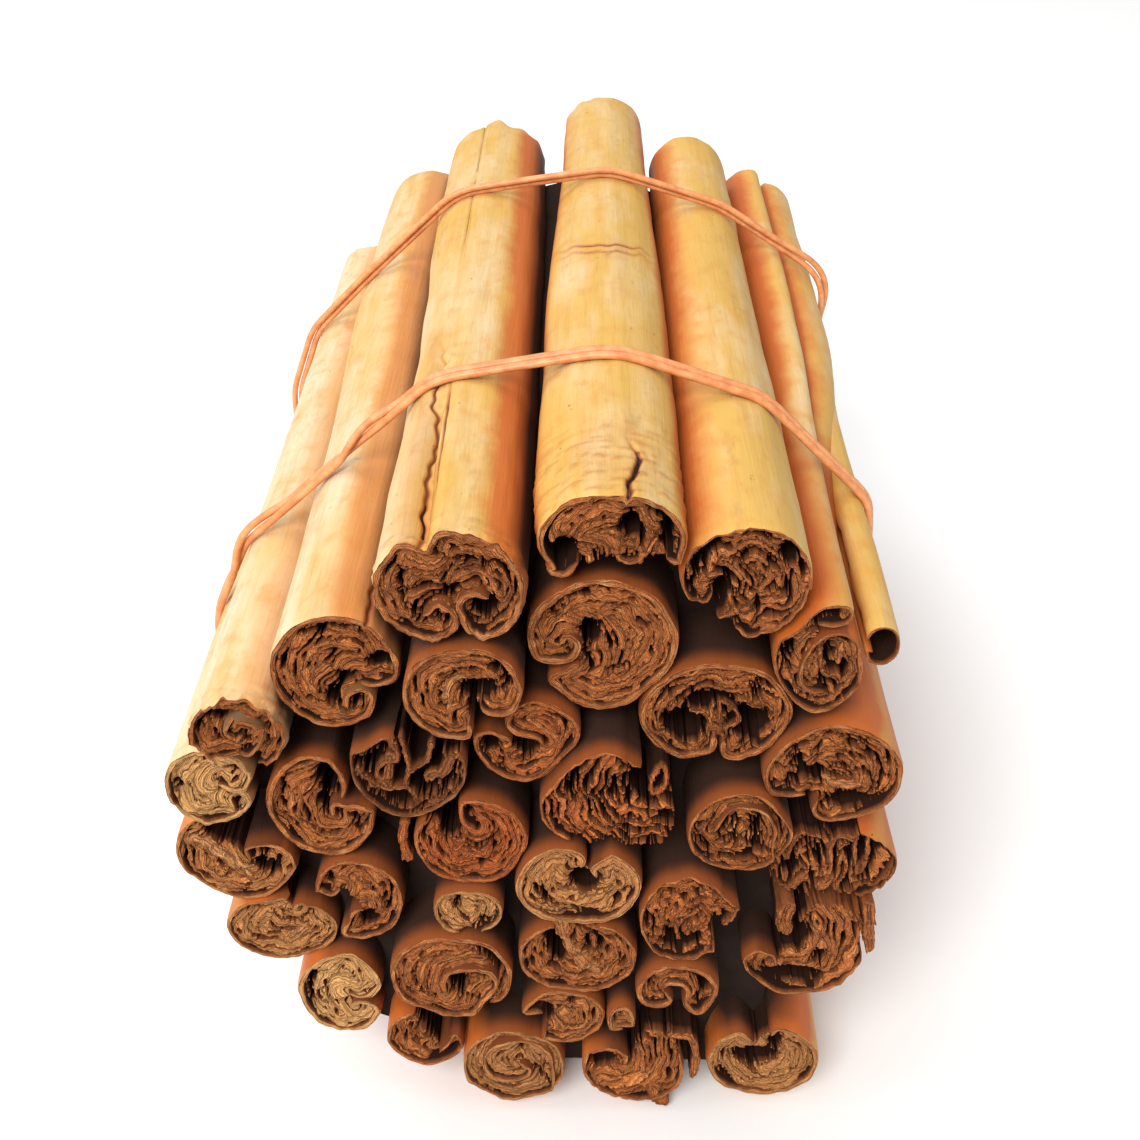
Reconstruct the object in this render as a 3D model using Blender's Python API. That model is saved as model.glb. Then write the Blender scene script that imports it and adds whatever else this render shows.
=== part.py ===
"""A bundle of rolled cinnamon quills, held by two rubber bands that each go round twice.

Metres, +Z up. The quills lie along Y with their trimmed ends towards -Y, and the bundle
rests on the undersides of its two bands at Z = 0. The origin is the bottom centre of the
whole bundle's box. Sizes below are in millimetres unless they say otherwise.
"""

import math

import bmesh
import bpy
from mathutils import Vector
from mathutils.geometry import convex_hull_2d

MM = 0.001

# Each quill: x and z of its middle at the front, width, height, how far its front end
# sticks out past the trimmed face, its length, and the direction of the groove where its
# two rolled edges meet (degrees from +X towards +Z, None where the edges overlap).
# They are listed in courses from the top of the bundle down, each from left to right.
# Neighbours reach into each other a little here: pressed_reach() flattens them.
QUILLS = {
    4: (7.0, 67.5, 12.0, 9.5, 2.0, 124.0, 265),
    3: (-7.0, 64.0, 13.0, 12.0, 4.0, 119.0, 268),
    5: (18.5, 63.0, 11.5, 11.5, 1.0, 114.5, 215),
    8: (6.0, 56.0, 14.0, 14.5, 0.5, 121.0, 205),
    7: (31.0, 55.5, 3.5, 4.5, -0.5, 97.5, None),
    6: (25.5, 55.0, 8.5, 12.0, 1.0, 119.0, None),
    2: (-17.5, 54.0, 12.0, 12.5, 2.0, 126.0, 325),
    9: (-6.0, 53.5, 11.0, 10.5, 4.5, 122.0, 305),
    1: (-26.5, 48.5, 9.0, 8.0, 4.0, 116.0, None),
    11: (16.5, 48.5, 15.0, 12.0, 0.5, 120.0, 270),
    13: (-0.5, 46.5, 10.5, 10.0, 2.0, 119.0, 125),
    14: (-11.5, 44.0, 11.0, 11.5, 3.5, 123.0, None),
    12: (27.5, 42.0, 13.5, 12.5, 1.5, 117.0, 290),
    10: (-30.0, 41.0, 9.0, 9.5, 2.5, 118.0, 330),
    16: (6.5, 41.0, 13.0, 12.0, 4.0, 124.0, None),
    15: (-20.0, 38.5, 10.5, 12.5, 2.0, 121.0, 30),
    17: (19.5, 36.0, 10.5, 10.0, 2.5, 118.0, None),
    19: (-6.0, 35.5, 11.0, 11.0, 3.5, 122.0, None),
    18: (-29.0, 31.5, 12.0, 12.0, 1.0, 120.0, None),
    22: (4.0, 31.0, 12.5, 11.0, 4.5, 123.0, 75),
    20: (28.5, 31.0, 13.5, 9.0, 1.5, 116.0, None),
    25: (-6.5, 27.5, 7.0, 6.5, 4.5, 115.0, None),
    21: (-17.5, 27.0, 9.0, 11.0, 2.5, 119.0, 195),
    23: (14.5, 26.5, 9.0, 11.5, 4.5, 120.0, None),
    24: (-25.5, 21.5, 12.0, 8.5, 1.0, 118.0, None),
    27: (4.0, 21.5, 12.0, 10.0, 4.5, 122.0, None),
    26: (26.5, 20.5, 12.5, 12.5, 2.5, 121.0, None),
    28: (-8.5, 18.5, 12.5, 11.5, 4.5, 124.0, None),
    30: (14.0, 17.5, 8.5, 7.0, 5.0, 117.0, 265),
    29: (-20.0, 14.0, 9.0, 12.0, 2.5, 119.0, 0),
    36: (8.5, 13.5, 3.0, 4.5, 5.5, 112.0, None),
    31: (2.5, 13.0, 9.0, 8.0, 4.5, 120.0, 150),
    32: (-11.5, 9.0, 8.5, 8.0, 4.0, 118.0, None),
    33: (-2.5, 5.5, 11.0, 11.0, 4.5, 124.0, None),
    34: (10.5, 5.5, 12.0, 11.0, 4.5, 121.0, None),
    35: (23.5, 5.5, 12.0, 11.0, 3.5, 119.0, 100),
}

QUILL_GAP = 0.2           # left between neighbours where they press on each other
FLARE = 0.08              # how much wider the upper courses are at FLARE_LENGTH
FLARE_LENGTH = 120.0
FLARE_CENTRE = 7.5        # x about which they spread
FLARE_FROM = 38.0         # the courses below this height run parallel
FLARE_FULL = 52.0         # and those above this height spread in full
OUTLINE_SIDES = 16
WOBBLE = 0.03             # how far a quill's outline dips inside its ellipse
GROOVE_DEPTH = 0.14       # of the quill's radius
GROOVE_SPREAD = 24.0      # degrees
WORN_EDGE = 0.4           # rounding of the trimmed rims

CORE_FRONT = 8.0          # the gaps between the quills are filled from here
CORE_REAR = 92.0          # to here, so that the bundle is one body

BAND_THICKNESS = 0.9
BAND_CLEARANCE = 0.3
BAND_SPACING = 1.2        # between the middles of a band's two turns
BAND_STEP = 3.0           # between points along a band
BAND_RESOLUTION = 1       # six sides
SWAP_LENGTH = 0.12        # of the way round, where the two turns change places
HULL_SAMPLES = 36
# Each band: its place along Y, where its turns change places, as a share of the way round
# from the top towards -X, and how they lie on top: 0 side by side, 90 on each other.
# Under the bundle the turns always lie side by side, so that it rests level.
BANDS = {
    "rubber_band_front": (25.0, 0.17, 0.0),
    "rubber_band_rear": (81.5, 0.85, 90.0),
}


def ellipse_reach(width, height, dx, dz):
    """How far an ellipse reaches from its middle towards (dx, dz)."""
    length = math.hypot(dx, dz)
    across = dx / length / (width / 2)
    up = dz / length / (height / 2)
    return 1 / math.hypot(across, up)


def middle(name, y):
    """A quill's (x, z) at some y: the upper courses spread a little towards the far end."""
    x, z = QUILLS[name][:2]
    share = min(max((z - FLARE_FROM) / (FLARE_FULL - FLARE_FROM), 0.0), 1.0)
    return x + (x - FLARE_CENTRE) * FLARE * share * y / FLARE_LENGTH, z


def pressed_reach(name, angle, y):
    """How far a quill reaches at an angle, flattened where a neighbour presses on it."""
    x, z = middle(name, y)
    size = QUILLS[name][2:4]
    reach = ellipse_reach(*size, math.cos(angle), math.sin(angle))
    for other in QUILLS:
        if other == name:
            continue
        other_x, other_z = middle(other, y)
        dx, dz = other_x - x, other_z - z
        distance = math.hypot(dx, dz)
        own = ellipse_reach(*size, dx, dz)
        overlap = own + ellipse_reach(*QUILLS[other][2:4], dx, dz) + QUILL_GAP - distance
        facing = math.cos(angle) * dx / distance + math.sin(angle) * dz / distance
        if facing > 0:
            reach = min(reach, (own - overlap / 2) / facing)
    return reach


def outline(name, y, sides, grow=0.0):
    """A quill's uneven round outline at some y, as (x, z) pairs."""
    x, z = middle(name, y)
    groove = QUILLS[name][6]
    points = []
    for k in range(sides):
        angle = math.tau * k / sides
        dip = 0.5 + 0.5 * math.cos(3 * angle + name) * math.cos(2 * angle + 2.3 * name)
        share = 1 - WOBBLE * dip
        if groove is not None:
            away = (math.degrees(angle) - groove + 180) % 360 - 180
            share -= GROOVE_DEPTH * math.exp(-((away / GROOVE_SPREAD) ** 2))
        reach = pressed_reach(name, angle, y) * share + grow
        points.append((x + reach * math.cos(angle), z + reach * math.sin(angle)))
    return points


def new_object(name, bm, material=None):
    mesh = bpy.data.meshes.new(name)
    bmesh.ops.recalc_face_normals(bm, faces=bm.faces)
    bm.to_mesh(mesh)
    bm.free()
    body = bpy.data.objects.new(name, mesh)
    bpy.context.scene.collection.objects.link(body)
    if material:
        mesh.materials.append(material)
    return body


def prism(name, rings):
    """A closed solid through rings of equal length."""
    bm = bmesh.new()
    made = [[bm.verts.new(Vector(p) * MM) for p in ring] for ring in rings]
    for near, far in zip(made, made[1:]):
        for k in range(len(near)):
            j = (k + 1) % len(near)
            bm.faces.new((near[k], near[j], far[j], far[k]))
    bm.faces.new(made[0])
    bm.faces.new(reversed(made[-1]))
    return new_object(name, bm)


def quill_solid(name):
    """One quill, with its trimmed rims a little worn."""
    overhang, length = QUILLS[name][4:6]
    front, rear = -overhang, length - overhang
    rings = []
    for y, grow in ((front, -WORN_EDGE), (front + WORN_EDGE, 0.0),
                    (rear - WORN_EDGE, 0.0), (rear, -WORN_EDGE)):
        rings.append([(x, y, z) for x, z in outline(name, y, OUTLINE_SIDES, grow)])
    return prism(f"guide_quill_{name:02d}", rings)


def core_solid():
    """Fills the gaps between the quills, inside the outline through the outer middles."""
    names = list(QUILLS)
    corners = convex_hull_2d([middle(name, CORE_FRONT) for name in names])
    rings = []
    for y in (CORE_FRONT, CORE_REAR):
        ring = [middle(names[i], y) for i in corners]
        rings.append([(x, y, z) for x, z in ring])
    return prism("quills", rings)


def join_quills(material):
    """The bundle's quills as one body: the core with every quill united to it."""
    body = core_solid()
    body.data.materials.append(material)
    guides = bpy.data.collections.new("quill_guides")
    bpy.context.scene.collection.children.link(guides)
    for name in QUILLS:
        guide = quill_solid(name)
        guide.hide_render = True
        guide.display_type = "WIRE"
        bpy.context.scene.collection.objects.unlink(guide)
        guides.objects.link(guide)
    union = body.modifiers.new("union", "BOOLEAN")
    union.operation = "UNION"
    union.operand_type = "COLLECTION"
    union.collection = guides
    union.solver = "EXACT"
    return body


def band_loop(y):
    """The closed line that a taut band follows round the quills at y, as (x, z) points."""
    reach = BAND_THICKNESS / 2 + BAND_CLEARANCE
    cloud = []
    for name in QUILLS:
        cloud += outline(name, y, HULL_SAMPLES, reach)
    loop = [Vector(cloud[i]) for i in convex_hull_2d(cloud)]
    if sum(a.cross(b) for a, b in zip(loop, loop[1:] + loop[:1])) < 0:
        loop.reverse()
    top = max(range(len(loop)), key=lambda i: loop[i].y)
    return loop[top:] + loop[:top]


def along(loop, share):
    """The point at a share of the way round a loop, and the outward direction there."""
    sides = [(a, b) for a, b in zip(loop, loop[1:] + loop[:1])]
    left = (share % 1.0) * sum((b - a).length for a, b in sides)
    for a, b in sides:
        if left <= (b - a).length:
            break
        left -= (b - a).length
    run = (b - a).normalized()
    return a + run * left, Vector((run.y, -run.x))


def band_points(name):
    """The middle line of a band that goes round twice, its turns changing places once."""
    y, swap_at, lie = BANDS[name]
    loop = band_loop(y)
    girth = sum((b - a).length for a, b in zip(loop, loop[1:] + loop[:1]))
    count = round(girth / BAND_STEP)
    points = []
    for k in range(2 * count):
        share, turn = (k % count) / count, k // count
        point, outward = along(loop, share)
        swap = min(max((share - swap_at) / SWAP_LENGTH + 0.5, 0.0), 1.0)
        phase = math.radians(lie) * math.cos(math.pi * share) ** 2
        phase += math.pi * (swap * swap * (3 - 2 * swap) + turn)
        point = point + outward * BAND_SPACING * max(math.sin(phase), 0.0)
        points.append((point.x, y + BAND_SPACING / 2 * math.cos(phase), point.y))
    return points


def band(name, material):
    """One rubber band as a closed tube."""
    points = band_points(name)
    curve = bpy.data.curves.new(name, "CURVE")
    curve.dimensions = "3D"
    curve.bevel_depth = BAND_THICKNESS / 2 * MM
    curve.bevel_resolution = BAND_RESOLUTION
    curve.resolution_u = 1
    spline = curve.splines.new("POLY")
    spline.points.add(len(points) - 1)
    spline.use_cyclic_u = True
    for target, point in zip(spline.points, points):
        target.co = (*(Vector(point) * MM), 1.0)
    curve.materials.append(material)
    body = bpy.data.objects.new(name, curve)
    bpy.context.scene.collection.objects.link(body)
    return body


def material(name, colour, roughness):
    made = bpy.data.materials.new(name)
    made.use_nodes = True
    shader = made.node_tree.nodes["Principled BSDF"]
    shader.inputs["Base Color"].default_value = (*colour, 1.0)
    shader.inputs["Roughness"].default_value = roughness
    shader.inputs["Metallic"].default_value = 0.0
    return made


def stand_at_origin(bodies):
    """Move everything so that the origin is the bottom centre of the whole box."""
    bpy.context.view_layer.update()
    shapes = bpy.context.evaluated_depsgraph_get()
    points = []
    for body in bodies:
        shape = body.evaluated_get(shapes)
        mesh = shape.to_mesh()
        points += [body.matrix_world @ vertex.co for vertex in mesh.vertices]
        shape.to_mesh_clear()
    low = Vector([min(p[i] for p in points) for i in range(3)])
    high = Vector([max(p[i] for p in points) for i in range(3)])
    shift = Vector((-(low.x + high.x) / 2, -(low.y + high.y) / 2, -low.z))
    for body in list(bpy.data.objects):
        body.location += shift


def main():
    for old in list(bpy.data.objects):
        bpy.data.objects.remove(old)
    bark = material("cinnamon_bark", (0.60, 0.34, 0.13), 0.75)
    rubber = material("band_rubber", (0.66, 0.28, 0.13), 0.45)
    bodies = [join_quills(bark)]
    bodies += [band(name, rubber) for name in BANDS]
    stand_at_origin(bodies)


main()
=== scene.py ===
"""The looks of the bundle of cinnamon quills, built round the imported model."""

import math

import bmesh
import bpy
import numpy as np
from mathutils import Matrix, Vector


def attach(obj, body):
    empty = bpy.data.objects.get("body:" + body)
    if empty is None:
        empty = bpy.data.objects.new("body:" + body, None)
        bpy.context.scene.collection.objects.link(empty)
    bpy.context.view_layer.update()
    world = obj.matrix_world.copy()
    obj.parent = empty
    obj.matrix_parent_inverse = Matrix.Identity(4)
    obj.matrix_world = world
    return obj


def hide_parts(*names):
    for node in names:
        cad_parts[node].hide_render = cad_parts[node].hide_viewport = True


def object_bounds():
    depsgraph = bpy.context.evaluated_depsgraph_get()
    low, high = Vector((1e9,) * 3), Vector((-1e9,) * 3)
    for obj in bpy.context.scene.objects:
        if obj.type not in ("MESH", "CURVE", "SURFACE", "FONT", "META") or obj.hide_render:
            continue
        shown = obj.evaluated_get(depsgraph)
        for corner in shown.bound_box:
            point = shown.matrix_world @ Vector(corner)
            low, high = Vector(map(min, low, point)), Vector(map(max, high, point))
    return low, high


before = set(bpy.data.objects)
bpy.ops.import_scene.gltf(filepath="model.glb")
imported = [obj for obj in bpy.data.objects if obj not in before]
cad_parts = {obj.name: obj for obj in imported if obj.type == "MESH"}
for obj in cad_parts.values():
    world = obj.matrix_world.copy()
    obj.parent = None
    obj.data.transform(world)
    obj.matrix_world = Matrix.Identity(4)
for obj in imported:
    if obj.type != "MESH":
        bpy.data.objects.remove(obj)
CAD_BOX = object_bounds()

MM = 0.001
QUILLS_NODE = "quills"
BANDS = ("rubber_band_front", "rubber_band_rear")


# ---------------------------------------------------------------- small helpers

LINE_STEP = 0.4        # mm between the points of a drawn line
ENDLESS = 1e6          # mm, a wave length so long that noise doesn't change that way
TINY = 1e-9


def smooth_step(value, low, high):
    """0 up to the low value, 1 from the high one on, and a soft slope in between."""
    share = np.clip((value - low) / (high - low), 0, 1)
    return share * share * (3 - 2 * share)


def bell(off, wide):
    """A hump: 1 in the middle, and next to nothing at twice its half width."""
    return np.exp(-(off / wide) ** 2)


def angles_of(points):
    """The angles at which flat points lie round the origin."""
    return np.arctan2(points[:, 1], points[:, 0])


def degrees_off(degrees, at):
    """How far angles are from another one, from -180 to 180."""
    return (degrees - at + 180) % 360 - 180


def unit(vectors):
    """The same vectors with a length of 1."""
    return vectors / np.maximum(np.linalg.norm(vectors, axis=1), TINY)[:, None]


def run_along(line):
    """How far along a line each of its points is."""
    return np.concatenate([[0], np.cumsum(np.hypot(*np.diff(line, axis=0).T))])


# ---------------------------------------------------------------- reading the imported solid

FRONT_ENDS_WITHIN = 12.0   # mm behind the foremost end; the filled core starts after that
REAR_ENDS_WITHIN = 29.0    # mm in front of the rearmost end
WORN_EDGE = 0.4            # mm, by which the solid's end faces are smaller than its quills
FLAT = 0.999               # how straight a face looks along Y when it is an end face
OUTLINE_STEPS = 72
OUTLINE_BLUR = np.array([1, 2, 3, 4, 3, 2, 1]) / 16


def joined_faces(faces):
    """The faces in groups that hang together by their edges."""
    left, groups = set(faces), []
    while left:
        group, queue = set(), [left.pop()]
        while queue:
            face = queue.pop()
            group.add(face)
            for other in (f for edge in face.edges for f in edge.link_faces if f in left):
                left.discard(other)
                queue.append(other)
        groups.append(group)
    return groups


def flat_ends(node, facing, within):
    """The outlines of a node's flat ends that look along -Y or +Y and lie within some mm of the
    outermost one."""
    bm = bmesh.new()
    bm.from_mesh(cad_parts[node].data)
    bmesh.ops.remove_doubles(bm, verts=bm.verts, dist=1e-6)
    bm.normal_update()
    edge_y = max(v.co.y * facing for v in bm.verts)
    found = []
    for group in joined_faces(f for f in bm.faces if f.normal.y * facing > FLAT):
        y = next(iter(group)).verts[0].co.y
        if edge_y - y * facing <= within * MM:
            rim = [e for f in group for e in f.edges if sum(o in group for o in e.link_faces) == 1]
            found.append(Outline(y / MM, loop_of(rim)))
    bm.free()
    return found


def loop_of(edges):
    """The points of a ring of edges in order, as an array of x and z in mm."""
    links = {}
    for edge in edges:
        for vert in edge.verts:
            links.setdefault(vert, []).append(edge.other_vert(vert))
    start = next(iter(links))
    loop, last, vert = [start], None, start
    while True:
        after = [v for v in links[vert] if v is not last]
        last, vert = vert, after[0]
        if vert is start:
            break
        loop.append(vert)
    return np.array([(v.co.x / MM, v.co.z / MM) for v in loop])


class Outline:
    """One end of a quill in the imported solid: its middle, and how far it reaches around."""

    def __init__(self, y, loop):
        self.y = y
        low, high = loop.min(0), loop.max(0)
        self.middle = (low + high) / 2
        around = loop - self.middle
        order = np.argsort(angles_of(around))
        angle, reach = angles_of(around)[order], np.hypot(*around[order].T) + WORN_EDGE
        self.angles = np.linspace(-math.pi, math.pi, OUTLINE_STEPS, endpoint=False)
        reach = np.interp(self.angles, angle, reach, period=math.tau)
        for _ in range(2):
            wrapped = np.concatenate([reach[-3:], reach, reach[:3]])
            reach = np.convolve(wrapped, OUTLINE_BLUR, "valid")
        self.reach = reach

    def at(self, angle):
        """How far the outline is from its middle at some angles (radians)."""
        return np.interp(angle, self.angles, self.reach, period=math.tau)


# ---------------------------------------------------------------- what each cut end shows

class Section:
    """How one quill is rolled, seen from the front.

    Its place (at) is x and z in mm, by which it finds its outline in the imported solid. Points
    are shares of the half width and half height from its middle. The outer sheet runs from its
    first edge (lead) round the outline from one angle to another (turn), and in again to its
    other edge (tail). Where the sheet is open, the layers end in a fringe along the closing
    points. The layers follow the sheet, or the guide if there is one. Widths, pitch and depth
    are in mm. Amber runs from 0 for cream bark over 1 for gold to 2 for orange.

    A hollow is a middle and two half widths. A slit or strip is a line and its width in mm. A
    tone is a line, its half width in mm and how much lighter it is. A dip is an angle, its depth
    in mm, its half width in degrees, and how far behind the front it has come out again.
    """

    def __init__(self, at, lead, turn, tail, wall=0.6, pitch=0.5, fill=0.75, rough=1.0,
                 deep=9.0, pale=0.0, red=0.0, amber=1.9, hollows=(), slits=(), strips=(),
                 dips=(), guide=(), close=(), tones=()):
        self.at, self.lead, self.turn, self.tail = at, lead, turn, tail
        self.wall, self.pitch, self.fill, self.rough = wall, pitch, fill, rough
        self.deep, self.pale, self.red, self.amber = deep, pale, red, amber
        self.hollows, self.slits, self.strips, self.dips = hollows, slits, strips, dips
        self.guide, self.close, self.tones = guide, close, tones


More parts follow.
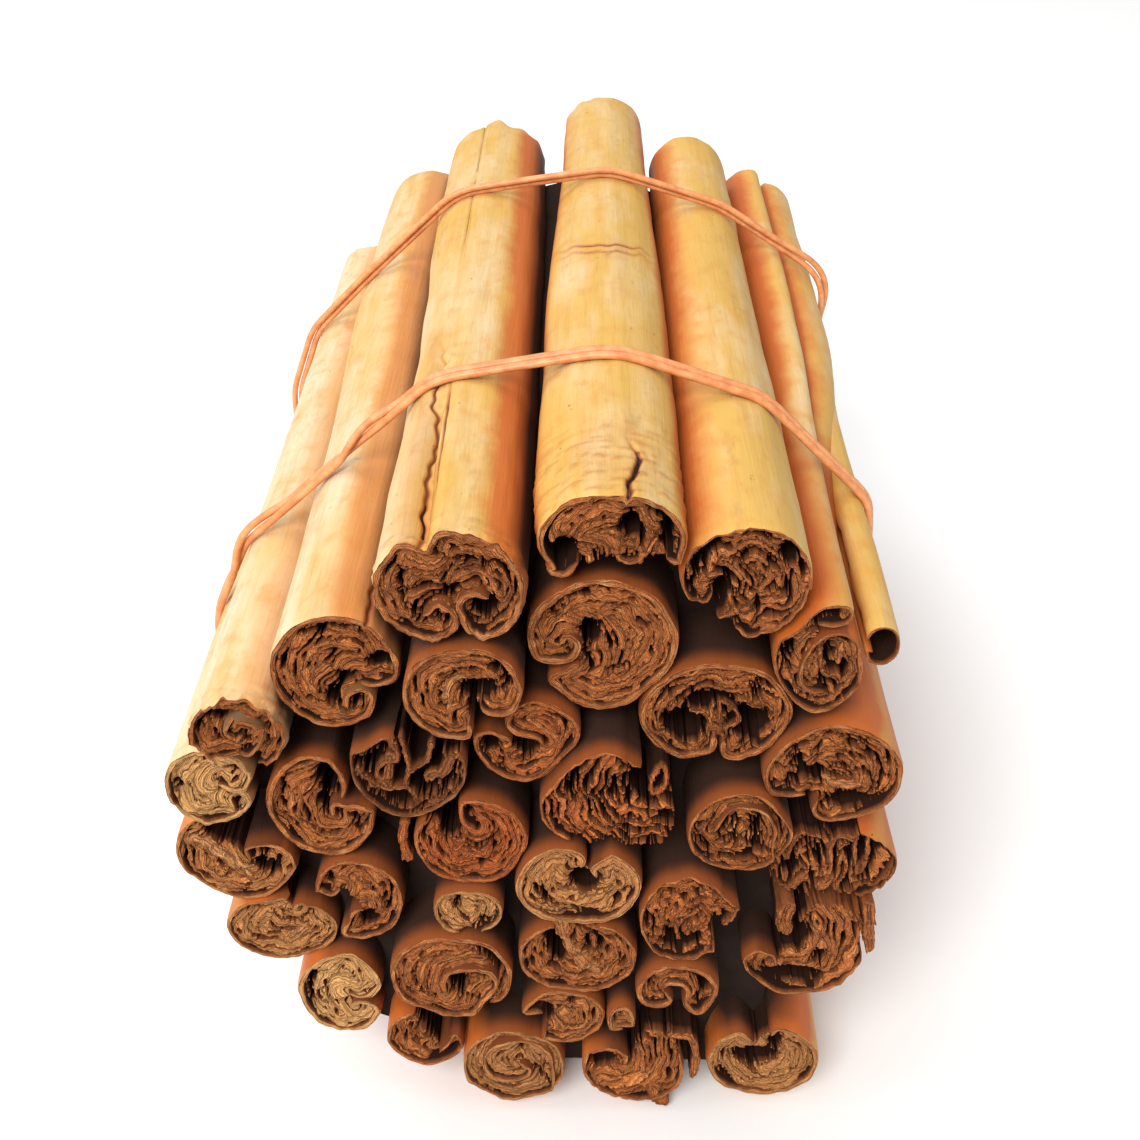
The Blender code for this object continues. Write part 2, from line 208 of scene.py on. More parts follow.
SECTIONS = {
    1: Section((-26.5, 49.7), [(0.1, 0), (-0.1, -0.15), (-0.25, 0.15), (0.1, 0.42), (0.45, 0.15),
        (0.42, -0.3), (0.1, -0.6), (-0.4, -0.6)], (215, -55), [(0.35, -0.75)],
        wall=0.5, fill=0.8, rough=1.3, pale=-0.05, amber=0.0,
        hollows=[(-0.3, 0.42, 0.3, 0.2)],
        slits=[([(0.5, 0.35), (0.62, 0.0), (0.55, -0.3)], 0.35), ([(-0.75, 0.2), (-0.5, 0.0),
        (-0.4, -0.3)], 0.3)]),
    2: Section((-17.7, 55.2), [(0.4, -0.16), (0.62, -0.22), (0.85, -0.14)], (-6, 298), [(0.54, -0.66),
        (0.56, -0.42), (0.36, -0.3), (0.16, -0.42), (0.16, -0.64)],
        pitch=0.55, fill=0.8, amber=0.35,
        hollows=[(0.68, 0.14, 0.2, 0.16), (-0.1, -0.52, 0.1, 0.16), (0.3, -0.5, 0.09, 0.12),
        (0.12, -0.12, 0.12, 0.1)],
        slits=[([(-0.45, 0.62), (-0.1, 0.72), (0.45, 0.7)], 0.45), ([(0.3, -0.12), (0.1, -0.2),
        (0.02, -0.4)], 0.5)]),
    3: Section((-7.0, 65.7), [(-0.34, -0.5), (-0.14, -0.36), (0.05, -0.52), (0.03, -0.8),
        (-0.2, -0.97)], (245, -52), [(0.4, -0.86), (0.17, -0.66), (0.13, -0.33), (0.32, -0.13),
        (0.52, -0.22)],
        wall=0.65, pitch=0.6, fill=0.74, rough=1.4, pale=-0.1, amber=0.75,
        hollows=[(0.45, -0.44, 0.2, 0.2), (0.02, -0.14, 0.16, 0.1), (-0.3, -0.66, 0.1, 0.08)],
        slits=[([(-0.62, 0.2), (-0.66, -0.15), (-0.55, -0.45)], 0.45), ([(-0.3, 0.62), (0.1, 0.42),
        (0.6, 0.36)], 0.35)],
        dips=[(116, 1.5, 12, 34)]),
    4: Section((6.8, 69.0), [(-0.5, -0.5), (-0.62, -0.7), (-0.84, -0.62)], (208, -12), [(0.86, -0.45),
        (0.72, -0.36)],
        fill=0.86, rough=1.2, amber=0.95,
        hollows=[(-0.72, -0.36, 0.24, 0.3), (0.28, 0.24, 0.2, 0.34)],
        slits=[([(0.58, 0.7), (0.76, 0.45), (0.8, 0.1), (0.76, -0.36)], 1.4)],
        strips=[([(0.36, 0.72), (0.52, 0.15), (0.66, -0.32)], 0.8), ([(-0.05, -0.12), (0.2, -0.12),
        (0.46, -0.3)], 0.5), ([(0.0, -0.3), (0.14, -0.55), (0.34, -0.52), (0.44, -0.28)], 0.45),
        ([(-0.36, -0.2), (-0.34, -0.5)], 0.6)]),
    5: Section((18.4, 64.2), [(-0.56, -0.2), (-0.65, -0.36), (-0.85, -0.32)], (190, -88),
        [(-0.16, -0.78)],
        wall=0.4, pitch=0.65, fill=0.6, rough=1.4, pale=-0.1, amber=1.0,
        hollows=[(0.62, 0.5, 0.15, 0.24), (-0.38, -0.2, 0.2, 0.24)],
        slits=[([(-0.5, 0.68), (-0.76, 0.35), (-0.82, 0.0)], 0.9), ([(0.0, -0.1), (0.2, -0.4),
        (0.2, -0.7)], 0.35)],
        strips=[([(-0.4, -0.68), (-0.2, -0.6), (0.05, -0.5)], 0.6), ([(-0.26, -0.3), (-0.22, -0.6)],
        0.4)]),
    6: Section((25.3, 56.2), [(-0.1, 0.7), (0.25, 0.66), (0.54, 0.74), (0.5, 0.94), (0.1, 1.0),
        (-0.25, 0.88), (-0.55, 0.58)], (150, 325), [(0.85, -0.1), (0.7, 0.36), (0.25, 0.5),
        (-0.15, 0.3), (-0.38, -0.15), (-0.25, -0.55), (0.15, -0.62)],
        wall=0.45, pitch=0.75, fill=0.55, rough=1.3, pale=-0.25, amber=1.15,
        hollows=[(-0.64, 0.15, 0.1, 0.4), (0.15, -0.02, 0.12, 0.24), (0.2, 0.78, 0.22, 0.1)],
        strips=[([(0.0, 0.2), (0.1, -0.3), (0.35, -0.35)], 0.45), ([(0.45, 0.25), (0.4, -0.1)],
        0.5)]),
    7: Section((31.0, 56.7), [], (150, -160), [(-0.55, -0.2)],
        wall=0.42, fill=0.0, amber=1.15),
    8: Section((6.1, 57.2), [(-0.58, 0.04), (-0.46, 0.14), (-0.34, 0.02), (-0.45, -0.2),
        (-0.72, -0.24)], (192, -142), [(-0.46, -0.36), (-0.32, -0.28)],
        wall=0.75, fill=0.88,
        hollows=[(-0.17, 0.14, 0.16, 0.2)],
        slits=[([(-0.2, 0.1), (-0.24, -0.15), (-0.14, -0.4)], 0.7), ([(0.08, -0.42), (0.34, -0.36)],
        0.45), ([(-0.06, 0.82), (0.04, 0.8)], 0.6), ([(-0.7, 0.4), (-0.5, 0.62), (-0.2, 0.75)],
        0.3)]),
    9: Section((-6.1, 54.6), [(0.06, -0.6)], (275, -20), [(0.68, -0.42), (0.4, -0.4), (0.28, -0.2)],
        fill=0.9,
        tones=[([(-0.24, -0.3), (-0.24, 0.1), (0.05, 0.36)], 0.7, 1.4)],
        hollows=[(0.24, 0.04, 0.35, 0.27), (0.12, -0.36, 0.08, 0.36)],
        slits=[([(0.5, 0.7), (0.68, 0.42), (0.72, 0.12)], 0.8), ([(-0.38, -0.35), (-0.38, 0.12),
        (-0.1, 0.42), (0.3, 0.46)], 0.28)],
        strips=[([(-0.22, -0.4), (-0.27, 0.05), (0.0, 0.3), (0.34, 0.3)], 0.75)]),
    10: Section((-30.2, 42.5), [(0.46, -0.62), (0.36, -0.34), (0.62, -0.12), (0.86, -0.36)],
        (318, 20), [(0.72, -0.02), (0.4, -0.1), (0.16, 0.06)],
        fill=0.93, pale=0.95, amber=0.3,
        hollows=[(0.16, -0.1, 0.09, 0.2), (-0.1, 0.74, 0.07, 0.12), (0.5, 0.33, 0.1, 0.09),
        (-0.72, -0.08, 0.1, 0.16), (0.5, -0.53, 0.05, 0.09)]),
    11: Section((16.4, 50.0), [(0.0, -0.46), (-0.02, -0.74), (-0.26, -0.84)], (240, -58),
        [(0.3, -0.92), (0.15, -0.86), (0.13, -0.56)],
        wall=0.7, fill=0.7, rough=1.3, deep=3.4,
        hollows=[(-0.38, -0.34, 0.3, 0.34), (0.45, -0.3, 0.3, 0.36), (-0.06, 0.1, 0.34, 0.2)],
        strips=[([(0.36, 0.14), (0.52, 0.1)], 1.5), ([(0.06, 0.12), (0.08, -0.3), (0.18, -0.46)],
        0.35), ([(0.06, 0.12), (0.3, -0.12), (0.3, -0.34), (0.18, -0.46)], 0.35), ([(-0.3, -0.08),
        (-0.1, -0.2), (0.02, -0.46)], 0.5), ([(-0.02, 0.05), (-0.06, -0.3)], 0.4)]),
    12: Section((27.5, 43.5), [(-0.16, -0.46), (-0.2, -0.7), (-0.04, -0.9)], (285, 562),
        [(-0.6, -0.42), (-0.36, -0.38)],
        wall=0.55, fill=0.68, rough=1.1,
        tones=[([(-0.1, -0.2), (0.4, -0.24)], 0.7, 1.3)],
        hollows=[(0.32, -0.6, 0.42, 0.17), (-0.25, -0.06, 0.16, 0.08)],
        slits=[([(-0.15, 0.75), (0.3, 0.6), (0.66, 0.2), (0.76, -0.2)], 0.3), ([(-0.8, 0.1),
        (-0.5, 0.05), (-0.1, -0.3)], 0.45)],
        strips=[([(0.06, -0.22), (0.36, -0.22)], 1.3)]),
    13: Section((-0.8, 47.7), [(0.34, -0.1), (0.2, 0.08), (-0.1, 0.2), (-0.34, 0.42), (-0.3, 0.72)],
        (102, -188), [(-0.74, 0.2), (-0.46, 0.12), (-0.28, -0.02)],
        pitch=0.55, fill=0.8, red=0.25,
        hollows=[(0.0, -0.2, 0.34, 0.24), (-0.68, -0.22, 0.2, 0.24)],
        slits=[([(-0.5, -0.3), (-0.46, -0.7)], 0.4)]),
    14: Section((-11.6, 45.3), [(-0.2, 0.66), (-0.4, 0.66), (-0.72, 0.42)], (158, 382), [],
        wall=0.4, fill=0.5, rough=1.6, deep=1.3, pale=-0.3,
        strips=[([(-0.3, 0.6), (-0.18, 0.3), (-0.2, 0.12), (-0.46, 0.04), (-0.55, -0.18),
        (-0.34, -0.34)], 0.55), ([(-0.08, 0.66), (-0.03, 0.25), (0.02, 0.0), (-0.06, -0.36),
        (0.1, -0.7)], 0.4), ([(0.02, -0.04), (0.3, 0.1), (0.42, 0.5)], 0.45), ([(-0.78, -0.28),
        (-0.46, -0.4), (-0.08, -0.46)], 0.4), ([(0.36, -0.22), (0.6, -0.08), (0.74, 0.2)], 0.9),
        ([(-0.3, 0.2), (-0.36, -0.2)], 0.8)]),
    15: Section((-20.2, 39.7), [(0.2, -0.2), (0.24, 0.04), (0.5, 0.02)], (-6, -284), [(0.42, 0.7),
        (0.5, 0.46), (0.42, 0.2)],
        wall=0.65, pitch=0.6, fill=0.72,
        hollows=[(0.14, 0.46, 0.2, 0.36), (0.02, 0.02, 0.12, 0.2)],
        slits=[([(-0.65, 0.35), (-0.74, -0.1), (-0.5, -0.55)], 0.3), ([(0.6, -0.3), (0.62, -0.55)],
        0.45)]),
    16: Section((6.6, 42.4), [(0.5, 0.72), (0.3, 0.86)], (75, 235), [],
        wall=0.42, pitch=0.66, fill=0.5, rough=1.5, red=0.3,
        hollows=[(0.62, 0.36, 0.3, 0.44)],
        slits=[([(-0.46, 0.6), (-0.6, 0.1)], 0.5)],
        strips=[([(0.86, 0.6), (0.7, 0.3), (0.68, 0.0), (0.86, 0.1), (0.92, 0.45), (0.86, 0.6)],
        0.4)],
        guide=[(0.34, 0.8), (0.12, 0.4), (0.12, 0.0), (0.4, -0.3), (1.0, -0.4)],
        close=[(-0.3, -0.93), (0.05, -0.98), (0.4, -0.98), (0.75, -0.95), (1.0, -0.7), (1.02, -0.25),
        (0.98, 0.3), (0.8, 0.7)]),
    17: Section((19.4, 37.2), [(-0.52, 0.0), (-0.2, 0.6), (0.35, 0.55), (0.62, 0.1), (0.62, -0.4)],
        (-45, -400), [],
        wall=0.45, fill=0.72,
        tones=[([(-0.1, 0.1), (0.1, -0.2)], 1.0, 1.3)],
        hollows=[(-0.38, 0.05, 0.1, 0.24), (0.3, 0.1, 0.08, 0.22)],
        slits=[([(0.35, 0.76), (0.68, 0.5), (0.78, 0.15)], 0.75), ([(-0.84, -0.15), (-0.6, -0.45)],
        0.5), ([(-0.35, -0.72), (0.2, -0.7)], 0.6)]),
    18: Section((-29.1, 32.6), [], (128, 345), [(0.8, 0.06), (0.5, 0.22), (0.14, 0.16), (0.2, -0.1)],
        wall=0.5, pitch=0.55, fill=0.74, rough=1.1, pale=0.2, deep=5.5,
        tones=[([(-0.74, 0.42), (-0.4, 0.06), (0.06, -0.45)], 0.8, 2.2)],
        hollows=[(-0.1, 0.45, 0.45, 0.34), (0.42, -0.02, 0.12, 0.07), (0.42, -0.34, 0.24, 0.2)],
        slits=[([(-0.55, -0.1), (-0.2, -0.5)], 0.5)],
        strips=[([(-0.68, 0.28), (-0.3, -0.1), (0.12, -0.56)], 1.3)]),
    19: Section((-6.2, 37.0), [(0.1, 0.3), (-0.08, 0.42), (-0.16, 0.8)], (95, -200), [(-0.8, 0.5)],
        wall=0.55, fill=0.84, red=0.6,
        hollows=[(-0.38, 0.46, 0.28, 0.5), (0.0, 0.56, 0.08, 0.1), (0.2, -0.62, 0.12, 0.1),
        (0.42, -0.3, 0.06, 0.14)],
        strips=[([(-0.62, 0.3), (-0.56, -0.1), (-0.34, -0.3), (-0.14, -0.14), (-0.06, 0.3)], 0.5),
        ([(-1.16, 0.3), (-1.2, -0.1), (-1.1, -0.5)], 0.8)]),
    20: Section((28.7, 32.2), [], (-60, 62), [],
        wall=0.3, pitch=0.66, fill=0.5, rough=1.6, pale=-0.2,
        hollows=[(0.45, 0.3, 0.28, 0.42), (-0.62, -0.2, 0.13, 0.2)],
        strips=[([(0.32, 0.8), (0.36, -0.1)], 0.35), ([(0.52, 0.8), (0.54, -0.1)], 0.35)],
        guide=[(-0.95, 0.5), (-0.92, -0.2), (-0.7, -0.6), (-0.5, -0.2), (-0.55, 0.3), (-0.36, 0.5),
        (-0.2, 0.0), (-0.15, -0.7), (0.02, -0.3), (0.05, 0.4), (0.2, 0.5), (0.26, -0.1), (0.2, -0.8),
        (0.5, -0.5), (0.7, 0.1), (0.6, 0.9)],
        close=[(0.2, 0.95), (-0.2, 0.95), (-0.7, 0.85), (-0.97, 0.4), (-0.97, -0.3), (-0.75, -0.75),
        (-0.3, -0.95), (0.15, -0.97)]),
    21: Section((-17.5, 28.2), [(-0.42, 0.24), (-0.6, 0.1), (-0.86, 0.22)], (165, -112),
        [(-0.28, -0.6), (-0.16, -0.34), (0.06, -0.24)],
        wall=0.55, pitch=0.55, fill=0.8,
        hollows=[(0.16, -0.58, 0.26, 0.24), (-0.62, 0.4, 0.1, 0.14), (0.62, -0.3, 0.06, 0.12)]),
    22: Section((4.0, 32.3), [(0.28, 0.26), (0.24, 0.46), (0.44, 0.62)], (48, -262), [(0.06, 0.74),
        (0.04, 0.52)],
        wall=0.75, fill=0.94, pale=0.45, red=0.1,
        hollows=[(0.12, 0.0, 0.28, 0.34)],
        slits=[([(-0.66, -0.18), (-0.42, -0.6), (0.1, -0.8), (0.26, -0.78)], 0.75), ([(0.5, -0.5),
        (0.8, -0.2)], 0.25)]),
    23: Section((14.4, 27.9), [(0.6, -0.45), (0.62, -0.75)], (-62, -320), [(1.1, 0.3)],
        wall=0.42, pitch=0.6, fill=0.7, rough=1.5, red=0.15,
        hollows=[(-0.04, -0.62, 0.5, 0.28)],
        strips=[([(0.3, 0.62), (0.7, 0.5), (1.1, 0.28)], 0.45), ([(0.2, 0.3), (0.7, 0.3),
        (1.12, 0.12)], 0.5), ([(1.1, 0.15), (0.86, -0.25)], 0.5), ([(-0.3, 0.1), (-0.2, -0.3),
        (-0.1, -0.7)], 0.45), ([(0.2, -0.1), (0.08, -0.6)], 0.5), ([(0.35, 0.0), (0.25, -0.35)],
        0.4)],
        close=[(0.7, 0.05), (0.5, -0.2)]),
    24: Section((-25.6, 22.7), [], (82, 398), [(0.6, 0.72), (0.34, 0.84), (0.2, 0.6)],
        wall=0.5, fill=0.9, pale=0.4,
        hollows=[(0.34, 0.62, 0.1, 0.14)],
        slits=[([(-0.7, 0.58), (-0.3, 0.5), (0.1, 0.42)], 0.45), ([(0.14, 0.1), (0.45, 0.3),
        (0.62, 0.6)], 0.4)]),
    25: Section((-6.6, 28.6), [], (-60, 250), [],
        wall=0.55, fill=0.92, pale=0.5,
        slits=[([(-0.25, 1.0), (-0.28, 0.4), (-0.32, 0.0)], 0.45), ([(0.84, 0.2), (0.8, -0.4)], 0.35),
        ([(0.35, -0.35), (0.45, -0.8)], 0.4)]),
    26: Section((26.5, 21.6), [(-0.42, -0.3), (-0.5, -0.1), (-0.72, 0.0), (-0.9, -0.1)], (190, 352),
        [],
        wall=0.5, pitch=0.7, fill=0.76, rough=1.1, pale=-0.1,
        hollows=[(-0.2, -0.66, 0.58, 0.22), (-0.2, 0.22, 0.32, 0.34), (0.32, -0.2, 0.12, 0.18)],
        strips=[([(-0.3, 0.95), (-0.36, 0.6), (-0.26, 0.28)], 1.4), ([(0.98, 0.95), (1.04, 0.4),
        (1.1, 0.0)], 1.1)],
        guide=[(-0.4, -0.36), (0.0, -0.36), (0.25, -0.12), (0.28, 0.3), (0.12, 0.8)],
        close=[(0.97, 0.2), (0.85, 0.8), (0.5, 0.97), (0.1, 0.98), (-0.1, 0.6), (-0.3, 0.0)]),
    27: Section((3.9, 22.6), [], (118, 425), [],
        wall=0.55, pitch=0.55, fill=0.7,
        hollows=[(-0.42, 0.42, 0.14, 0.4), (-0.3, 0.0, 0.16, 0.34), (0.29, 0.32, 0.18, 0.3)],
        strips=[([(-0.28, 0.88), (-0.2, 0.4), (0.0, 0.0), (0.3, -0.42)], 1.4), ([(0.26, 0.34),
        (0.3, 0.1)], 0.5)],
        tones=[([(-0.28, 0.88), (-0.2, 0.4), (0.0, 0.0), (0.3, -0.42)], 0.8, 1.6)]),
    28: Section((-8.6, 19.7), [(0.62, -0.6)], (-34, 292), [(0.48, -0.6), (0.72, -0.25), (0.66, 0.08),
        (0.3, 0.2), (0.0, 0.12), (-0.14, -0.15), (-0.1, -0.45)],
        fill=0.86,
        hollows=[(0.1, -0.2, 0.17, 0.3), (0.42, -0.04, 0.2, 0.12)],
        slits=[([(0.42, 0.64), (0.66, 0.44), (0.76, 0.05)], 1.1), ([(-0.65, 0.0), (-0.55, -0.4),
        (-0.3, -0.6)], 0.3)]),
    29: Section((-20.3, 15.3), [(0.2, -0.06), (0.38, -0.12), (0.64, -0.08)], (12, 322),
        [(0.66, -0.26), (0.38, -0.22), (0.24, -0.36)],
        wall=0.65, fill=0.96, pale=1.0,
        hollows=[(-0.16, -0.36, 0.07, 0.09), (0.24, 0.64, 0.1, 0.04)],
        slits=[([(-0.64, 0.34), (-0.76, 0.0), (-0.7, -0.34)], 0.7)]),
    30: Section((13.9, 18.8), [(-0.3, -0.1), (-0.14, -0.46), (-0.45, -0.64)], (208, -30),
        [(0.5, -0.96), (0.2, -0.62), (0.28, -0.15), (0.08, 0.26), (-0.22, 0.26), (-0.36, 0.0)],
        wall=0.65, pitch=0.6, fill=0.6,
        slits=[([(0.3, 0.5), (0.62, 0.1), (0.6, -0.4)], 0.6), ([(-0.6, 0.3), (-0.62, -0.1)], 0.4)]),
    31: Section((2.5, 14.1), [(-0.5, 0.2), (-0.9, 0.1)], (172, -125), [(-0.4, -0.5)],
        wall=0.55, fill=0.9, pale=0.1,
        hollows=[(-0.5, -0.1, 0.3, 0.42)]),
    32: Section((-11.6, 10.2), [], (105, 345), [(0.72, 0.1), (0.55, -0.25), (0.3, -0.5)],
        wall=0.5, pitch=0.55, fill=0.78, rough=1.2,
        hollows=[(0.2, 0.4, 0.14, 0.7)],
        slits=[([(0.15, -0.8), (0.5, -0.72), (0.72, -0.45)], 0.7), ([(-0.2, 0.4), (-0.26, -0.1)],
        0.3)]),
    33: Section((-2.6, 6.8), [(0.1, 0.1), (0.3, -0.2), (0.0, -0.45), (-0.5, -0.2), (-0.5, 0.35),
        (0.1, 0.7), (0.66, 0.4), (0.74, -0.2)], (-40, -400), [],
        wall=0.5, fill=1.0, rough=0.6, pale=0.35,
        hollows=[(0.16, 0.34, 0.07, 0.1), (0.1, -0.02, 0.16, 0.06), (0.62, -0.2, 0.06, 0.14),
        (0.44, -0.28, 0.06, 0.1), (-0.6, -0.33, 0.06, 0.08), (-0.2, 0.62, 0.08, 0.04)]),
    34: Section((10.3, 6.7), [(-0.26, 0.06), (-0.22, 0.3), (-0.46, 0.48)], (158, 292), [(0.6, -0.66),
        (0.76, -0.2), (0.7, 0.4)],
        wall=0.55, pitch=0.65, fill=0.74, rough=1.2,
        hollows=[(-0.6, 0.02, 0.28, 0.2), (-0.2, 0.68, 0.22, 0.3)],
        strips=[([(0.56, 0.8), (0.9, 0.66), (1.02, 0.1), (0.96, -0.4)], 0.75), ([(0.3, -0.7),
        (0.45, -1.05)], 1.6)],
        slits=[([(0.76, 0.5), (0.84, 0.2), (0.76, -0.2)], 0.5)],
        guide=[(0.0, 1.0), (0.2, 0.4), (0.18, -0.1), (-0.1, -0.4), (-0.6, -0.55)],
        close=[(0.6, 0.9), (0.1, 1.0), (-0.05, 0.5)]),
    35: Section((23.4, 6.5), [(0.1, 0.75)], (78, -236), [(-0.2, 0.5)],
        wall=0.7, fill=0.95, pale=0.4, amber=1.5,
        hollows=[(-0.14, 0.02, 0.46, 0.3), (0.2, 0.42, 0.14, 0.34)],
        slits=[([(-0.75, -0.4), (-0.55, -0.66)], 0.6), ([(0.86, 0.35), (0.88, 0.1)], 0.4)]),
    36: Section((8.4, 14.7), [(-0.2, -0.3), (0.3, -0.3)], (-30, 235), [(0.1, -0.6)],
        fill=0.8, pale=0.2),
}


# ---------------------------------------------------------------- curves, noise and fields

FRONT_GRID = 0.16      # mm between the points at which a section is worked out
REAR_GRID = 0.36


class Waves:
    """Smooth seeded noise in two dimensions, about -1 to 1, made of a few crossing waves."""

    def __init__(self, seed, length_a, length_b, count=7):
        draw = np.random.default_rng(seed)
        turn = draw.uniform(0, math.tau, count)
        pace = draw.uniform(0.6, 1.5, count) * math.tau
        self.a = pace * np.cos(turn) / length_a
        self.b = pace * np.sin(turn) / length_b
        self.shift = draw.uniform(0, math.tau, count)
        self.scale = 1.6 / math.sqrt(count)

    def at(self, a, b):
        """The noise at some places."""
        total = 0.0
        for pace_a, pace_b, shift in zip(self.a, self.b, self.shift):
            total = total + np.sin(pace_a * a + pace_b * b + shift)
        return total * self.scale / math.sqrt(2)


def stray(seed, length, along, count=7):
    """The same noise along a line, with waves of about one length."""
    return Waves(seed, length, ENDLESS, count).at(along, 0 * along)


def smooth_line(points, step):
    """A curve through the points, as points about a step apart."""
    points = np.asarray(points, float)
    padded = np.vstack([2 * points[0] - points[1], points, 2 * points[-1] - points[-2]])
    pieces = []
    for i in range(1, len(padded) - 2):
        p0, p1, p2, p3 = padded[i - 1:i + 3]
        count = max(2, int(np.hypot(*(p2 - p1)) / step) + 1)
        t = np.linspace(0, 1, count, endpoint=False)[:, None]
        pieces.append(0.5 * (2 * p1 + (p2 - p0) * t + (2 * p0 - 5 * p1 + 4 * p2 - p3) * t ** 2
                             + (3 * p1 - p0 - 3 * p2 + p3) * t ** 3))
    return even_line(np.vstack(pieces + [points[-1:]]), step)


def even_line(points, step):
    """The same line with its points evenly spaced."""
    along = run_along(points)
    at = np.linspace(0, along[-1], max(3, int(round(along[-1] / step)) + 1))
    return np.column_stack([np.interp(at, along, points[:, 0]), np.interp(at, along, points[:, 1])])


def line_normals(line):
    """The unit normals to the left of a line."""
    way = unit(np.gradient(line, axis=0))
    return np.column_stack([-way[:, 1], way[:, 0]])


def line_distance(line, x, z):
    """How far each point is from a line, and how far along the line its nearest place is."""
    best = np.full(x.shape, ENDLESS)
    where = np.zeros(x.shape)
    done = 0.0
    for (ax, az), (bx, bz) in zip(line[:-1], line[1:]):
        length = math.hypot(bx - ax, bz - az)
        if length < TINY:
            continue
        share = np.clip(((x - ax) * (bx - ax) + (z - az) * (bz - az)) / length ** 2, 0, 1)
        far = np.hypot(x - ax - share * (bx - ax), z - az - share * (bz - az))
        nearer = far < best
        best = np.where(nearer, far, best)
        where = np.where(nearer, done + share * length, where)
        done += length
    return best, where


def times_round(line, x, z):
    """How many times a closed line goes round each point."""
    total = np.zeros(x.shape)
    for (ax, az), (bx, bz) in zip(line, np.roll(line, -1, axis=0)):
        side = (bx - ax) * (z - az) - (bz - az) * (x - ax)
        up = (az <= z) & (bz > z) & (side > 0)
        down = (az > z) & (bz <= z) & (side < 0)
        total += up * 1.0 - down * 1.0
    return np.abs(total)


# ---------------------------------------------------------------- one quill

class Quill:
    """One quill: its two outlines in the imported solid, its section, and where things on it are."""

    def __init__(self, number, section, front, rear):
        self.number, self.section, self.front, self.rear = number, section, front, rear
        self.seed = number * 100
        self.half = np.array([front.at(0.0) + front.at(math.pi),
                              front.at(math.pi / 2) + front.at(-math.pi / 2)]) / 2
        self.sheet = self.sheet_line()

    def point(self, u, v):
        """A place in the section, in mm from the middle of the front end."""
        x, z = u * self.half[0], v * self.half[1]
        angle = math.atan2(z, x)
        plain = 1 / math.hypot(math.cos(angle) / self.half[0], math.sin(angle) / self.half[1])
        size = min(1.0, math.hypot(u, v))
        fit = 1 + (self.front.at(angle) / plain - 1) * size ** 2
        return x * fit, z * fit

    def curve(self, points):
        """A curve through places in the section, in mm."""
        return smooth_line([self.point(u, v) for u, v in points], LINE_STEP)

    def sheet_line(self):
        """The middle of the outer sheet's thickness, from edge to edge."""
        s = self.section
        first, last = s.turn
        count = max(2, int(abs(last - first) / 6))
        body = []
        for degrees in np.linspace(first, last, count):
            angle = math.radians(degrees)
            reach = self.front.at((angle + math.pi) % math.tau - math.pi) - s.wall / 2
            for at, deep, wide, _ in s.dips:
                reach -= deep * bell(degrees_off(degrees, at), wide)
            body.append((reach * math.cos(angle), reach * math.sin(angle)))
        lead, tail = ([self.point(u, v) for u, v in points] for points in (s.lead, s.tail))
        return smooth_line(lead + body + tail, LINE_STEP)

    def is_outer(self, line, share):
        """Which points of a line lie farther out than a share of the way to the outline."""
        return np.hypot(*line.T) > share * self.front.at(angles_of(line))

    def place(self, flat, y):
        """Points of the front section (mm from its middle) carried back to the given y."""
        angle = angles_of(flat)
        share = np.reshape((y - self.front.y) / (self.rear.y - self.front.y), (-1, 1))
        grown = 1 + (self.rear.at(angle) / self.front.at(angle) - 1)[:, None] * share
        middle = self.front.middle + (self.rear.middle - self.front.middle) * share
        spot = flat * grown + middle
        return np.column_stack([spot[:, 0], np.broadcast_to(y, len(flat)), spot[:, 1]])


OPEN_MOUTH = 2.5       # mm between a sheet's edges from which the layers end in a fringe there
TORN_FROM = 1.4        # the roughness above which layers are also torn short
GAP_HALF = 0.13        # mm, by which a gap between layers opens
STRIP_STEP = 0.4       # mm between the fine lines on the cut end of a strip


def gap_half_width(quill, gap, along):
    """Half the width of the gaps between layers, in mm: below zero where there is none."""
    opening = (stray(quill.seed + 3, 5.0, along + 37.0 * gap) - 0.35
               + 0.5 * stray(quill.seed + 4, 1.7, along + 53.0 * gap)
               + (0.85 - quill.section.fill) * 4)
    return np.where(opening > 0, 0.05 + GAP_HALF * np.minimum(opening, 1.7), -0.1 + 0.5 * opening)


def rolled_layers(quill, x, z, off, along, jag):
    """The layers without their ends: above zero where they are solid, and which one is where."""
    s, seed = quill.section, quill.seed
    layer = (off - s.wall / 2) / s.pitch + s.rough * (
        0.35 * Waves(seed + 1, 4.0, 4.0).at(x, z) + 0.05 * jag)
    gap = np.round(layer)
    solid = (np.abs(layer - gap) * s.pitch - gap_half_width(quill, gap, along)
             - 0.04 * s.rough * jag)
    if s.rough > TORN_FROM:
        torn = stray(seed + 5, 1.6, along + 53.0 * np.floor(layer + 0.5))
        solid = np.minimum(solid, (1.8 - 0.3 * s.rough - torn) * 0.4)
    return solid, layer


